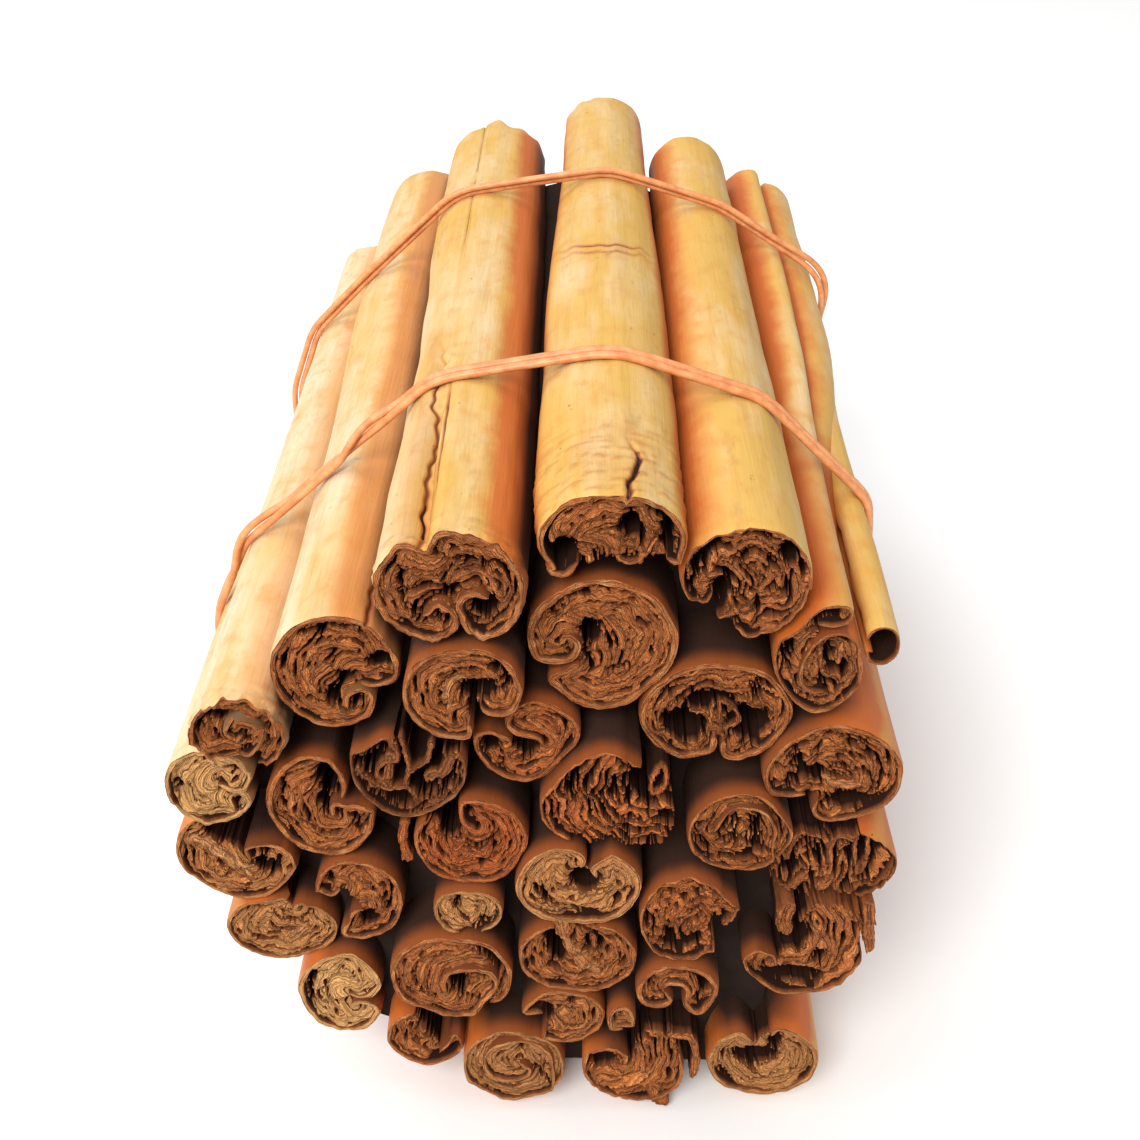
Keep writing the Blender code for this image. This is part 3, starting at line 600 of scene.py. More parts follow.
def section_field(quill, x, z):
    """Above zero where the rolled layers inside a quill are solid, in mm. Also gives where each
    point is between layers (whole numbers are gaps), how far along them, and its distances from
    the open hollows and from the outer sheet."""
    s, seed, sheet = quill.section, quill.seed, quill.sheet
    border, along = line_distance(sheet, x, z)
    close = [quill.point(u, v) for u, v in s.close]
    open_edge = np.vstack([sheet[-1:]] + [[p] for p in close] + [sheet[:1]])
    inside = times_round(np.vstack([sheet, open_edge[1:-1]]), x, z) > 0
    off = border
    if s.guide:
        off, along = line_distance(quill.curve(s.guide), x, z)
    jag = Waves(seed + 2, 0.6, 0.6, 14).at(x, z)
    solid, layer = rolled_layers(quill, x, z, off, along, jag)
    solid = np.minimum(solid, np.where(inside, border, -border))
    solid = np.minimum(solid, s.deep - border + 0.5 * jag)
    if close or math.hypot(*(open_edge[1] - open_edge[0])) > OPEN_MOUTH:
        fringe = line_distance(open_edge, x, z)[0] - 0.2 + 0.35 * jag * s.rough
        solid = np.minimum(solid, fringe)
    room = open_room(quill, x, z)
    solid = np.minimum(solid, room + 0.2 * jag + 0.03)
    for points, wide in s.strips:
        far, run = line_distance(quill.curve(points), x, z)
        strip = wide / 2 * (1 + 0.2 * stray(seed + 6, 1.8, run)) - far + 0.05 * jag
        layer = np.where(strip > solid, far / STRIP_STEP + 0.5, layer)
        along = np.where(strip > solid, run, along)
        solid = np.maximum(solid, strip)
    return solid, layer, along, room, border


def open_room(quill, x, z):
    """How far each point is outside the hollows and slits of a section, in mm."""
    room = np.full(x.shape, 9.0)
    for u, v, ru, rv in quill.section.hollows:
        cx, cz = quill.point(u, v)
        rx, rz = ru * quill.half[0], rv * quill.half[1]
        room = np.minimum(room, (np.hypot((x - cx) / rx, (z - cz) / rz) - 1) * min(rx, rz) * 1.1)
    for points, wide in quill.section.slits:
        room = np.minimum(room, line_distance(quill.curve(points), x, z)[0] - wide / 2)
    return room


# Marching squares: which points of a grid cell the solid part joins, for each way its corners
# can be solid (1, 2, 4 and 8 for the corners in turn). Points 0 to 3 are the corners, and 4 to
# 7 are the crossings on the sides that follow them.
CELLS = {
    1: [(0, 4, 7)], 2: [(1, 5, 4)], 3: [(0, 1, 5, 7)], 4: [(2, 6, 5)],
    5: [(0, 4, 7), (2, 6, 5)], 6: [(1, 2, 6, 4)], 7: [(0, 1, 2, 6, 7)], 8: [(3, 7, 6)],
    9: [(0, 4, 6, 3)], 10: [(1, 5, 4), (3, 7, 6)], 11: [(0, 1, 5, 6, 3)],
    12: [(2, 3, 7, 5)], 13: [(0, 4, 5, 2, 3)], 14: [(1, 2, 3, 7, 4)], 15: [(0, 1, 2, 3)],
}
CORNER, ACROSS, UP = 0, 1, 2       # the kinds of points: corners, and crossings on a side
# The kind of each point, and the corner it is at or starts from.
CELL_POINTS = ((CORNER, 0, 0), (CORNER, 1, 0), (CORNER, 1, 1), (CORNER, 0, 1),
               (ACROSS, 0, 0), (UP, 1, 0), (ACROSS, 0, 1), (UP, 0, 0))
NEAREST_CROSSING = 0.08            # a crossing's least distance from a corner, in cells


class SolidPart:
    """The solid part of a field as points, faces and rim edges (both as point numbers)."""

    def __init__(self, field, x, z):
        self.field, self.x, self.z = field, x, z
        self.numbers, self.points, self.faces, self.rims = {}, [], [], []
        inside = field > 0
        kind = (inside[:-1, :-1] * 1 + inside[1:, :-1] * 2 + inside[1:, 1:] * 4
                + inside[:-1, 1:] * 8)
        for i, j in np.argwhere(kind):
            for loop in CELLS[int(kind[i, j])]:
                self.add_face(loop, int(i), int(j))

    def spot(self, kind, i, j):
        """Where a point lies: on a corner, or where the field crosses zero on a side."""
        x, z, field = self.x, self.z, self.field
        if kind == CORNER:
            return x[i, j], z[i, j]
        k, m = (i + 1, j) if kind == ACROSS else (i, j + 1)
        share = field[i, j] / (field[i, j] - field[k, m])
        share = min(max(share, NEAREST_CROSSING), 1 - NEAREST_CROSSING)
        return x[i, j] + share * (x[k, m] - x[i, j]), z[i, j] + share * (z[k, m] - z[i, j])

    def number(self, kind, i, j):
        """The number of a point, which is made when it is first asked for."""
        key = kind, i, j
        if key not in self.numbers:
            self.numbers[key] = len(self.points)
            self.points.append(self.spot(*key))
        return self.numbers[key]

    def add_face(self, loop, i, j):
        """One face of a cell, and the rim edges on it."""
        shifts = [CELL_POINTS[p] for p in loop]
        ids = [self.number(kind, i + di, j + dj) for kind, di, dj in shifts]
        self.faces.append(ids)
        for k, (kind, _, _) in enumerate(shifts):
            after = (k + 1) % len(ids)
            if kind != CORNER and shifts[after][0] != CORNER:
                self.rims.append((ids[k], ids[after]))


BARK, CUT, INSIDE = 0, 1, 2        # the materials of a quill, in their order


class Build:
    """Collects the points and faces of one piece, with a few values at each point."""

    # Of these, depth and the last value carry painted shade: how dark recesses inside a quill and the
    # crevices between quills are painted.
    VALUES = ("shade", "depth", "layer", "along", "painted_shade")

    def __init__(self):
        self.points, self.faces, self.kinds, self.values = [], [], [], []
        self.count = 0

    def add_points(self, points, **values):
        """Adds points, and gives the number of the first."""
        start = self.count
        table = np.zeros((len(points), len(self.VALUES)))
        for name, value in values.items():
            table[:, self.VALUES.index(name)] = value
        self.points.append(points)
        self.values.append(table)
        self.count += len(points)
        return start

    def add_faces(self, faces, kind):
        """Adds faces with one of the piece's materials."""
        self.faces.extend(faces)
        self.kinds.extend([kind] * len(faces))

    def add_grid(self, rows, kind, values, flip=False):
        """A surface through rows of points, each row as long as the next."""
        starts = [self.add_points(row, **value) for row, value in zip(rows, values)]
        for a, b in zip(starts[:-1], starts[1:]):
            faces = [(a + k, a + k + 1, b + k + 1, b + k) for k in range(len(rows[0]) - 1)]
            self.add_faces([face[::-1] for face in faces] if flip else faces, kind)

    def finish(self, name, materials, **fixed):
        """The piece as an object, with some values that are the same at all its points."""
        mesh = bpy.data.meshes.new(name)
        mesh.from_pydata((np.vstack(self.points) * MM).tolist(), [], [tuple(f) for f in self.faces])
        mesh.polygons.foreach_set("material_index", self.kinds)
        mesh.polygons.foreach_set("use_smooth", [True] * len(self.faces))
        table = np.vstack(self.values)
        values = {key: table[:, k] for k, key in enumerate(self.VALUES)}
        for key, value in fixed.items():
            values[key] = np.full(len(table), float(value))
        for key, value in values.items():
            mesh.attributes.new(key, "FLOAT", "POINT").data.foreach_set("value", value)
        for material in materials:
            mesh.materials.append(material)
        mesh.update()
        piece = bpy.data.objects.new(name, mesh)
        bpy.context.collection.objects.link(piece)
        return piece


# ---------------------------------------------------------------- the rolled layers

DEEPEST_CUT = 2.5      # mm behind a quill's end that the cut of its layers reaches at most
DARK_FROM = 2.2        # mm behind the end where no light reaches the layers' walls
WALL_SWAY = 0.12       # mm, by which the walls wander further in
REAR_SHIFT = 3.0       # mm, by which the noise on the cuts is moved, apart for front and rear


def wall_depth(quill, edge):
    """How much painted shade the layers' walls get far from the cut: less where they are bare on the
    outside.
    """
    angle = angles_of(edge)
    first, last = BARE_SIDES.get(quill.number, (0, 0))
    outer = smooth_step(np.hypot(*edge.T) / quill.front.at(angle), 0.7, 0.9)
    return 1 - 0.7 * outer * (np.degrees(angle) > first) * (np.degrees(angle) < last)


def layer_shade(quill, flat, layer):
    """How light each point of the cut ends is."""
    shade = (0.6 * np.sin(np.floor(layer) * 2.4 + quill.seed)
             + 0.4 * Waves(quill.seed + 7, 1.5, 1.5).at(*flat.T))
    for points, wide, tone in quill.section.tones:
        shade = shade + tone * bell(line_distance(quill.curve(points), *flat.T)[0], wide)
    return shade


def layer_relief(quill, flat, layer, room, on_rim, shift):
    """How far behind the end each point of the cut ends lies, in mm."""
    seed, rough = quill.seed, quill.section.rough
    x, z = flat[:, 0] + shift, flat[:, 1]
    back = (0.4 + 0.16 * rough * Waves(seed + 8, 2.8, 2.8).at(x, z)
            + 0.05 * rough * Waves(seed + 9, 0.8, 0.8, 12).at(x, z)
            + 0.2 * rough * np.sin(np.floor(layer) * 3.7 + shift) + 0.12 * on_rim
            + 0.6 * np.exp(-np.clip(room, 0, 9) / 0.4))
    return np.clip(back, 0.0, DEEPEST_CUT)


def add_layers(build, quill, facing, grid):
    """The rolled layers inside the outer sheet, from one end to the middle of the quill."""
    reach = quill.half * 1.35 + 0.5
    x, z = np.meshgrid(*(np.arange(-far, far, grid) for far in reach), indexing="ij")
    field, *fields = section_field(quill, x, z)
    part = SolidPart(field, x, z)
    if not part.points:
        return
    flat = np.array(part.points)
    i, j = (np.clip(np.round((flat[:, k] + reach[k]) / grid).astype(int), 0, x.shape[k] - 1)
            for k in (0, 1))
    layer, along, room, border = (values[i, j] for values in fields)
    rim = np.unique(np.array(part.rims))
    on_rim = np.zeros(len(flat))
    on_rim[rim] = 1
    shade = layer_shade(quill, flat, layer)
    back = layer_relief(quill, flat, layer, room, on_rim, facing * REAR_SHIFT)
    end = quill.front.y if facing > 0 else quill.rear.y
    ys = end + facing * back
    # Points on the rims next to the gaps get a little painted shade.
    first = build.add_points(quill.place(flat, ys), shade=shade, depth=0.15 * on_rim, layer=layer,
                             along=along)
    build.add_faces([[first + k for k in face[::facing]] for face in part.faces], CUT)
    order = {int(k): n for n, k in enumerate(rim)}
    sides = [(order[k], order[m]) for k, m in part.rims]
    values = {"shade": shade[rim], "layer": layer[rim], "along": along[rim]}
    add_walls(build, quill, facing, flat[rim], ys[rim], border[rim], sides, values)


def add_walls(build, quill, facing, edge, ys, border, sides, values):
    """The faces between the layers, from the rims of their cut ends to the quill's middle."""
    end = quill.front.y if facing > 0 else quill.rear.y
    sway = np.column_stack([Waves(quill.seed + n, 1.4, 1.4).at(*edge.T) for n in (10, 11)])
    moved = edge + WALL_SWAY * sway * np.clip(border - 0.3, 0, 1)[:, None]
    deep = wall_depth(quill, edge)
    # The walls' depth is painted shade, darker the deeper they lie behind the cut.
    rows = [(edge, ys, 0.1), (moved, end + facing * DARK_FROM, 0.9 * deep),
            (moved, (quill.front.y + quill.rear.y) / 2, deep)]
    starts = [build.add_points(quill.place(flat, y), depth=depth, **values)
              for flat, y, depth in rows]
    for a, b in zip(starts[:-1], starts[1:]):
        faces = [(a + m, a + k, b + k, b + m) for k, m in sides]
        build.add_faces([face[::facing] for face in faces], INSIDE)


# ---------------------------------------------------------------- marks and shapes of the bark

# Lengthwise cracks in the outer sheet: the angle they lie at in degrees, where they start and end
# behind the front, their half width and depth, and how far they wander, all in mm.
CRACKS = {
    3: [(107, 7, 30, 0.17, 0.34, 0.2), (123, -6, 40, 0.17, 0.3, 0.6)],
    4: [(70, -3, 10.0, 0.24, 0.42, 0.5)],
    2: [(58, -3, 9, 0.22, 0.3, 0.4)],
}
# Cracks are painted dark: painted shade in the crack.
CRACK_SHADE = 2.6       # how much darker the bark is for each mm that it is cracked
# Stains on the bark: the angle and half width in degrees, where they start and end behind the
# front in mm, and how dark they are.
STAINS = {
    3: [(133, 9, -8, 42, 0.16), (112, 6, -6, 12, 0.14), (64, 8, 63, 66, 0.16),
        (66, 6, 57, 59, 0.1), (82, 8, 48, 50, 0.18)],
    4: [(75, 35, -4, 11, 0.08), (120, 16, 3, 7, 0.08), (60, 20, 40, 46, 0.05)],
    2: [(72, 8, 53, 55, 0.12), (98, 7, 44, 46, 0.12), (75, 30, -4, 6, 0.07)],
    5: [(70, 30, 40, 60, 0.04), (130, 12, 55, 60, 0.06)],
    6: [(60, 70, -8, 26, 0.2)],
}
# Where a quill stands out towards its neighbour: the angle, how far in mm, the half width in
# degrees, and where behind the front it starts, is whole, starts to fade and has gone.
SWELLS = {
    2: [(170, 1.2, 50, 35, 80, 150, 160)],
    3: [(5, 0.5, 50, -8, 8, 90, 110), (175, 1.2, 50, 45, 85, 150, 160)],
    4: [(180, 1.1, 50, -8, 8, 50, 105), (0, 0.5, 45, -8, 8, 50, 105)],
    5: [(172, 0.4, 45, -8, 8, 50, 105)],
    6: [(12, 5.0, 60, 8, 70, 150, 160)],
    26: [(14, 0.9, 18, -8, 8, 150, 160)],
}
# The angles between which the outer sheet leaves a quill's layers bare on its outer side.
BARE_SIDES = {26: (-20, 120)}
# Rough, wrinkled skin: how far behind the front it ends, and how high it stands.
WRINKLES = {4: (17, 0.055), 3: (3, 0.08), 1: (3, 0.06)}
# A scar across the top: how far behind the front, and how high.
SCARS = {4: (59, 0.2)}
# How far the sheet's first long edge strays sideways, and its front and rear rims lengthwise, in
# mm, for the quills where that isn't the usual.
TORN_EDGES = {7: 0.26}
RAGGED_FRONTS = {1: 0.35, 3: 0.16, 5: 0.15, 16: 0.2, 20: 0.2, 23: 0.15, 26: 0.1, 34: 0.12, 10: 0.15}
RAGGED_REARS = {3: 0.8, 1: 0.8, 7: 0.3, 5: 0.3, 4: 0.3}
USUAL_TEAR, USUAL_FRONT, USUAL_REAR = 0.12, 0.05, 0.25

OUTER_ONES = (1, 2, 3, 4, 5, 6, 7, 10, 12, 18, 20, 24, 26, 29, 32, 33, 34, 35)
RING_STEP, HIDDEN_STEP, FINE_STEP = 3.2, 14.0, 0.4      # mm between rings: outer, hidden, marked
OUTSIDE = 0.6          # the share of the way to the outline where the sheet's outer side starts


def stations(quill):
    """Where along the quill the outer sheet has a ring of points."""
    front, rear = quill.front.y, quill.rear.y
    step = RING_STEP if quill.number in OUTER_ONES else HIDDEN_STEP
    near, rings = front + 9.0, [front, front + 0.7, front + 2.0, front + 4.0, front + 6.0]
    if quill.number in WRINKLES or quill.number in CRACKS:
        fine = max([WRINKLES.get(quill.number, (0,))[0]]
                   + [crack[2] for crack in CRACKS.get(quill.number, [])])
        rings = [front, front + 0.5] + list(np.arange(front + 0.9, front + fine + 1, FINE_STEP))
        near = rings[-1] + 1.0
    if quill.number in SCARS:
        at = front + SCARS[quill.number][0]
        rings += list(np.arange(near, at - 3, step)) + list(np.arange(at - 3, at + 3, FINE_STEP))
        near = at + 4.0
    return np.array(rings + list(np.arange(near, rear - 2.0, step)) + [rear - 0.7, rear])


def off_crack(quill, line, degrees):
    """How far each point of the sheet's line is from a crack, in mm round the quill."""
    at = math.radians(degrees)
    return (angles_of(line) - at) * quill.front.at(at)


def crack_depth(quill, line, y):
    """How deep a crack is at each point of the outer sheet's line, at the given y."""
    depth = np.zeros(len(line))
    run = y - quill.front.y
    for degrees, start, end, wide, deep, _ in CRACKS.get(quill.number, ()):
        share = np.clip(np.minimum(run - start, end - run) / (0.25 * (end - start)), 0, 1)
        depth += deep * share * bell(off_crack(quill, line, degrees), wide)
    return depth * quill.is_outer(line, OUTSIDE)


def crack_sway(quill, line, y):
    """How far the sheet's points move sideways to follow the wandering cracks, at the given y."""
    sway = np.zeros(len(line))
    run = y - quill.front.y
    for n, (degrees, start, end, _, _, wander) in enumerate(CRACKS.get(quill.number, ())):
        bend = (stray(quill.seed + 30 + n, 14.0, run)
                + 0.3 * stray(quill.seed + 40 + n, 4.0, run))
        window = smooth_step(run, start - 4, start + 2) * (1 - smooth_step(run, end, end + 8))
        sway += wander * bend * window * bell(off_crack(quill, line, degrees), 1.8)
    return sway * quill.is_outer(line, OUTSIDE)


def wrinkles(quill, along, y):
    """How high wrinkled skin stands, and how dark it is."""
    if quill.number not in WRINKLES:
        return 0.0, 0.0
    end, high = WRINKLES[quill.number]
    share = np.clip((end - (y - quill.front.y)) / (0.5 * end), 0, 1)
    ripple = (Waves(quill.seed + 18, 5.0, 1.6, 12).at(along, y)
              + 0.5 * Waves(quill.seed + 19, 1.4, 0.8, 12).at(along, y))
    flake = np.clip(ripple - 0.3, 0, 1)
    return high * share * (ripple + flake), 0.2 * share * smooth_step(ripple, 0.5, 1.1)


def scar(quill, angle, along, y):
    """How high a bowed ridge across the top stands, with a groove behind it, and how dark it is."""
    if quill.number not in SCARS:
        return 0.0, 0.0
    at, high = SCARS[quill.number]
    bow = 1.6 * np.cos(np.radians((angle - 90) * 1.6))
    off = y - quill.front.y - at + bow + 0.3 * stray(quill.seed + 20, 2.0, along)
    span = np.clip(1.7 - np.abs(angle - 92) / 45, 0, 1)
    # The darkening is partly the scar's own brown lines and halo, and partly painted shade in the
    # groove behind its ridge.
    groove = bell(off - 1.3, 0.4)
    return (high * span * (bell(off, 0.6) - 0.8 * groove),
            span * (0.55 * groove + 0.4 * bell(off + 1.0, 0.3) + 0.12 * bell(off, 2.2)))


def skin(quill, line, along, y):
    """How far the outer face stands out at each point of the sheet's line, and how dark it is."""
    out = (0.07 * Waves(quill.seed + 15, 7.0, 26.0, 9).at(along, y)
           + 0.02 * Waves(quill.seed + 16, 2.4, 8.0, 9).at(along, y))
    dark = np.zeros(len(line))
    angle = np.degrees(angles_of(line))
    for high, tone in (wrinkles(quill, along, y), scar(quill, angle, along, y)):
        out = out + high
        dark = dark + tone
    run = y - quill.front.y
    for at, wide, start, end, tone in STAINS.get(quill.number, ()):
        window = smooth_step(run, start, start + 4) * smooth_step(-run, -end - 4, -end)
        dark = dark + tone * window * bell(angle - at, wide)
    # The cracks' darkness is painted shade.
    cut = crack_depth(quill, line, y)
    return out - cut, dark + CRACK_SHADE * cut


def swell(quill, angle, y):
    """How far a quill stands out towards its neighbours at some angles (radians), at the given y."""
    out = np.zeros(len(angle))
    run = y - quill.front.y
    for at, far, wide, start, whole, fade, gone in SWELLS.get(quill.number, ()):
        grown = smooth_step(run, start, whole) * (1 - smooth_step(run, fade, gone))
        out += far * grown * bell(degrees_off(np.degrees(angle), at), wide)
    return out


def dip_back(quill, line, y):
    """How far the sheet has come back out of the dips it has at its front, at the given y."""
    out = np.zeros(len(line))
    angle = np.degrees(angles_of(line))
    for at, deep, wide, length in quill.section.dips:
        share = np.clip((y - quill.front.y) / length, 0, 1)
        out += deep * share ** 1.5 * bell(angle - at, wide)
    return out * quill.is_outer(line, 0.5)


def raised(quill, line, y):
    """The middle line of the sheet at the given y, back out of its dips and with its swells."""
    outward = swell(quill, angles_of(line), y) * quill.is_outer(line, 0.7)
    far = dip_back(quill, line, y) + outward
    return line * (1 + far / np.maximum(np.hypot(*line.T), 1.0))[:, None]


def refined(quill, line):
    """The sheet's line with extra points where a crack or wrinkles need them."""
    number = quill.number
    if number not in CRACKS and number not in WRINKLES and number not in SCARS:
        return line
    angle = np.degrees(angles_of(line))
    outer = quill.is_outer(line, OUTSIDE)
    points = [line[0]]
    for k in range(1, len(line)):
        cracked = any(abs(angle[k] - crack[0]) < 16 for crack in CRACKS.get(number, ()))
        rough = number in WRINKLES and 20 < angle[k] < 160
        parts = 1
        if outer[k] and outer[k - 1]:
            parts = 3 if cracked else 2 if rough else 1
        for part in range(1, parts + 1):
            points.append(line[k - 1] + (line[k] - line[k - 1]) * part / parts)
    return np.array(points)


# ---------------------------------------------------------------- the outline of the bundle

ENVELOPES = {}
ENVELOPE_STEP = 4.0    # mm between the places at which the envelope is worked out
DEEP_BARK = 7.0        # mm inside the envelope at which no light reaches the bark


def hull(points):
    """The points of a cloud that a tight line round it touches, anticlockwise."""
    points = sorted(set(map(tuple, np.round(points, 5))))

    def chain(run):
        """The outer side of the cloud from one end of the run to the other."""
        kept = []
        for p in run:
            while len(kept) > 1 and ((kept[-1][0] - kept[-2][0]) * (p[1] - kept[-2][1])
                                     - (kept[-1][1] - kept[-2][1]) * (p[0] - kept[-2][0])) <= 0:
                kept.pop()
            kept.append(p)
        return kept[:-1]

    return np.array(chain(points) + chain(points[::-1]))


def envelope(quills, y, grow=0.0):
    """The tight line round all the quills at the given y, anticlockwise, in mm. A quill that does
    not reach that far counts as if it did."""
    cloud = []
    angles = np.linspace(0, math.tau, 48, endpoint=False)
    round_ways = np.column_stack([np.cos(angles), np.sin(angles)])
    for q in quills:
        share = min(max((y - q.front.y) / (q.rear.y - q.front.y), 0.0), 1.0)
        middle = (1 - share) * q.front.middle + share * q.rear.middle
        size = 1 + (q.rear.at(angles) / q.front.at(angles) - 1) * share
        reach = (q.front.at(angles) + swell(q, angles, y)) * size + grow
        cloud.append(middle + round_ways * reach[:, None])
    return hull(np.vstack(cloud))


def painted_shade(quills, quill, points, y):
    """How deep in painted shade points of a quill's bark are, from 0 to 1."""
    key = round(y / ENVELOPE_STEP) * ENVELOPE_STEP
    if key not in ENVELOPES:
        ENVELOPES[key] = envelope(quills, key)
    loop = ENVELOPES[key]
    way = unit(np.roll(loop, -1, axis=0) - loop)
    gap = ((points[:, 2, None] - loop[None, :, 1]) * way[None, :, 0]
           - (points[:, 0, None] - loop[None, :, 0]) * way[None, :, 1]).min(1)
    # Painted shade: stronger towards a quill's right side, away from the key light, and weaker near
    # its ends, where light reaches in.
    side = (points[:, 0] - points[:, 0].mean()) / quill.half[0]
    share = np.clip(gap / DEEP_BARK * (1 + 0.4 * np.clip(side, -1, 1)), 0, 1)
    run = min(y - quill.front.y, quill.rear.y - y)
    return share * (0.7 + 0.3 * smooth_step(run, 0.0, 3.5))


# ---------------------------------------------------------------- the outer sheet

RIM_RUN = 4.0          # mm behind a rim over which its raggedness fades
RIM_WORN = 0.1         # mm, by which the sheet is thinner on each face at its rims
RIM_BULGE = 0.06       # mm, by which the middle of a rim's cut stands out
INNER_EVERY = 4        # the inner face has a ring for every so many of the outer face's


class Sheet:
    """The outer sheet: a strip with an outer and an inner face, two rims and two long edges."""

    def __init__(self, quill):
        seed, number = quill.seed, quill.number
        self.quill, self.ys = quill, stations(quill)
        self.line = line = refined(quill, quill.sheet)
        after = np.roll(line, -1, axis=0)
        self.flip = bool(np.sum(line[:, 0] * after[:, 1] - after[:, 0] * line[:, 1]) > 0)
        self.tangent = unit(np.gradient(line, axis=0))
        self.along = along = run_along(line)
        self.ends = np.minimum(along, along[-1] - along)
        self.torn = TORN_EDGES.get(number, USUAL_TEAR) * np.exp(-along / 0.8)
        reach = np.hypot(*raised(quill, line, quill.rear.y).T) / quill.front.at(angles_of(line))
        # Painted shade where the sheet lies rolled in, inside the quill's outline.
        self.rolled_in_shade = 0.8 * smooth_step(-reach, -0.84, -0.7)
        half = quill.section.wall / 2 * np.clip(0.45 + self.ends / 0.9, 0, 1)
        self.half = half * (1 + 0.12 * stray(seed + 12, 3.0, along))
        self.rag = (RAGGED_FRONTS.get(number, USUAL_FRONT) * stray(seed + 13, 1.4, along, 10)
                    + 0.12 * stray(seed + 14, 6.0, along))
        self.rag_rear = RAGGED_REARS.get(number, USUAL_REAR) * stray(seed + 17, 3.0, along, 10)

    def ring(self, quills, k):
        """The outer and inner points at one of its stations, each with their values."""
        quill, line, half, y = self.quill, self.line, self.half, self.ys[k]
        near = max(0.0, 1 - (y - self.ys[0]) / RIM_RUN)
        far = max(0.0, 1 - (self.ys[-1] - y) / RIM_RUN)
        at = y + near * self.rag - far * self.rag_rear
        out, dark = skin(quill, line, self.along, at)
        out = out * np.clip(self.ends / 3, 0, 1)
        is_rim = k in (0, len(self.ys) - 1)
        worn = RIM_WORN if is_rim else 0.0
        tear = self.torn * (stray(quill.seed + 21, 2.2, y) + 0.6 * stray(quill.seed + 22, 0.9, y))
        row = raised(quill, line, y)
        outward = line_normals(row) * (-1 if self.flip else 1)
        row = row + self.tangent * (crack_sway(quill, line, y) - tear)[:, None]
        outer = quill.place(row + outward * (half + out - worn)[:, None], at)
        sunk = half - np.minimum(out, 0.3 * out)
        inner = quill.place(row - outward * (sunk - worn)[:, None], at)
        # Painted shade on the bark: in the crevices between quills, and where the sheet is rolled in.
        bark_shade = np.maximum(painted_shade(quills, quill, outer, y), self.rolled_in_shade)
        # The inner face is painted dark, as painted shade inside the quill, except at its rims.
        return (outer, {"shade": -dark, "along": self.along, "layer": self.layer(1.0),
                        "painted_shade": bark_shade},
                inner, {"depth": 0.1 if is_rim else 1.0, "along": self.along})

    def layer(self, share):
        """Where a share of the way out through the sheet is, counted in layers."""
        return -share * self.quill.section.wall / self.quill.section.pitch

    def add_rim(self, build, outer, inner, facing):
        """The cut face of the sheet at one end of the quill."""
        shade = 0.75 + 0.5 * stray(self.quill.seed + 23, 2.0, self.along)
        middle = (outer + inner) / 2
        middle[:, 1] -= facing * RIM_BULGE
        values = [{"shade": shade, "along": self.along, "layer": self.layer(share)}
                  for share in (1.0, 0.5, 0.0)]
        build.add_grid([outer, middle, inner], CUT, values, self.flip == (facing < 0))

    def add(self, build, quills):
        """Adds the sheet to a piece."""
        last = len(self.ys) - 1
        rings = [self.ring(quills, k) for k in range(last + 1)]
        fewer = [rings[k] for k in sorted({0, 1, last - 1, last} | set(range(0, last, INNER_EVERY)))]
        build.add_grid([r[0] for r in rings], BARK, [r[1] for r in rings], self.flip)
        build.add_grid([r[2] for r in fewer], INSIDE, [r[3] for r in fewer], not self.flip)
        for k, facing in ((0, 1), (-1, -1)):
            self.add_rim(build, rings[k][0], rings[k][2], facing)
        for end in (0, -1):
            outer, inner = (np.array([r[face][end] for r in fewer]) for face in (0, 2))
            # Painted shade on the long edges, darker further behind the front.
            deep = np.clip((outer[:, 1] - self.ys[0]) / 8, 0.1, 0.8)
            build.add_grid([outer, inner], INSIDE, [{"depth": deep}] * 2, (end == 0) == self.flip)


def quill_piece(quill, quills, materials):
    """One quill as a piece of its own."""
    build = Build()
    Sheet(quill).add(build, quills)
    s = quill.section
    if s.fill > 0:
        add_layers(build, quill, 1, FRONT_GRID)
        add_layers(build, quill, -1, REAR_GRID)
    piece = build.finish(f"quill_{quill.number:02d}", materials, seed=quill.number, pale=s.pale,
                         red=s.red, amber=s.amber)
    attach(piece, "root")
    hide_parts(QUILLS_NODE)


# ---------------------------------------------------------------- materials

SEED_SHIFT = 17.3      # mm between the places in a noise that two quills in turn are given
USUAL_SHINE = 0.5      # Blender's own specular level


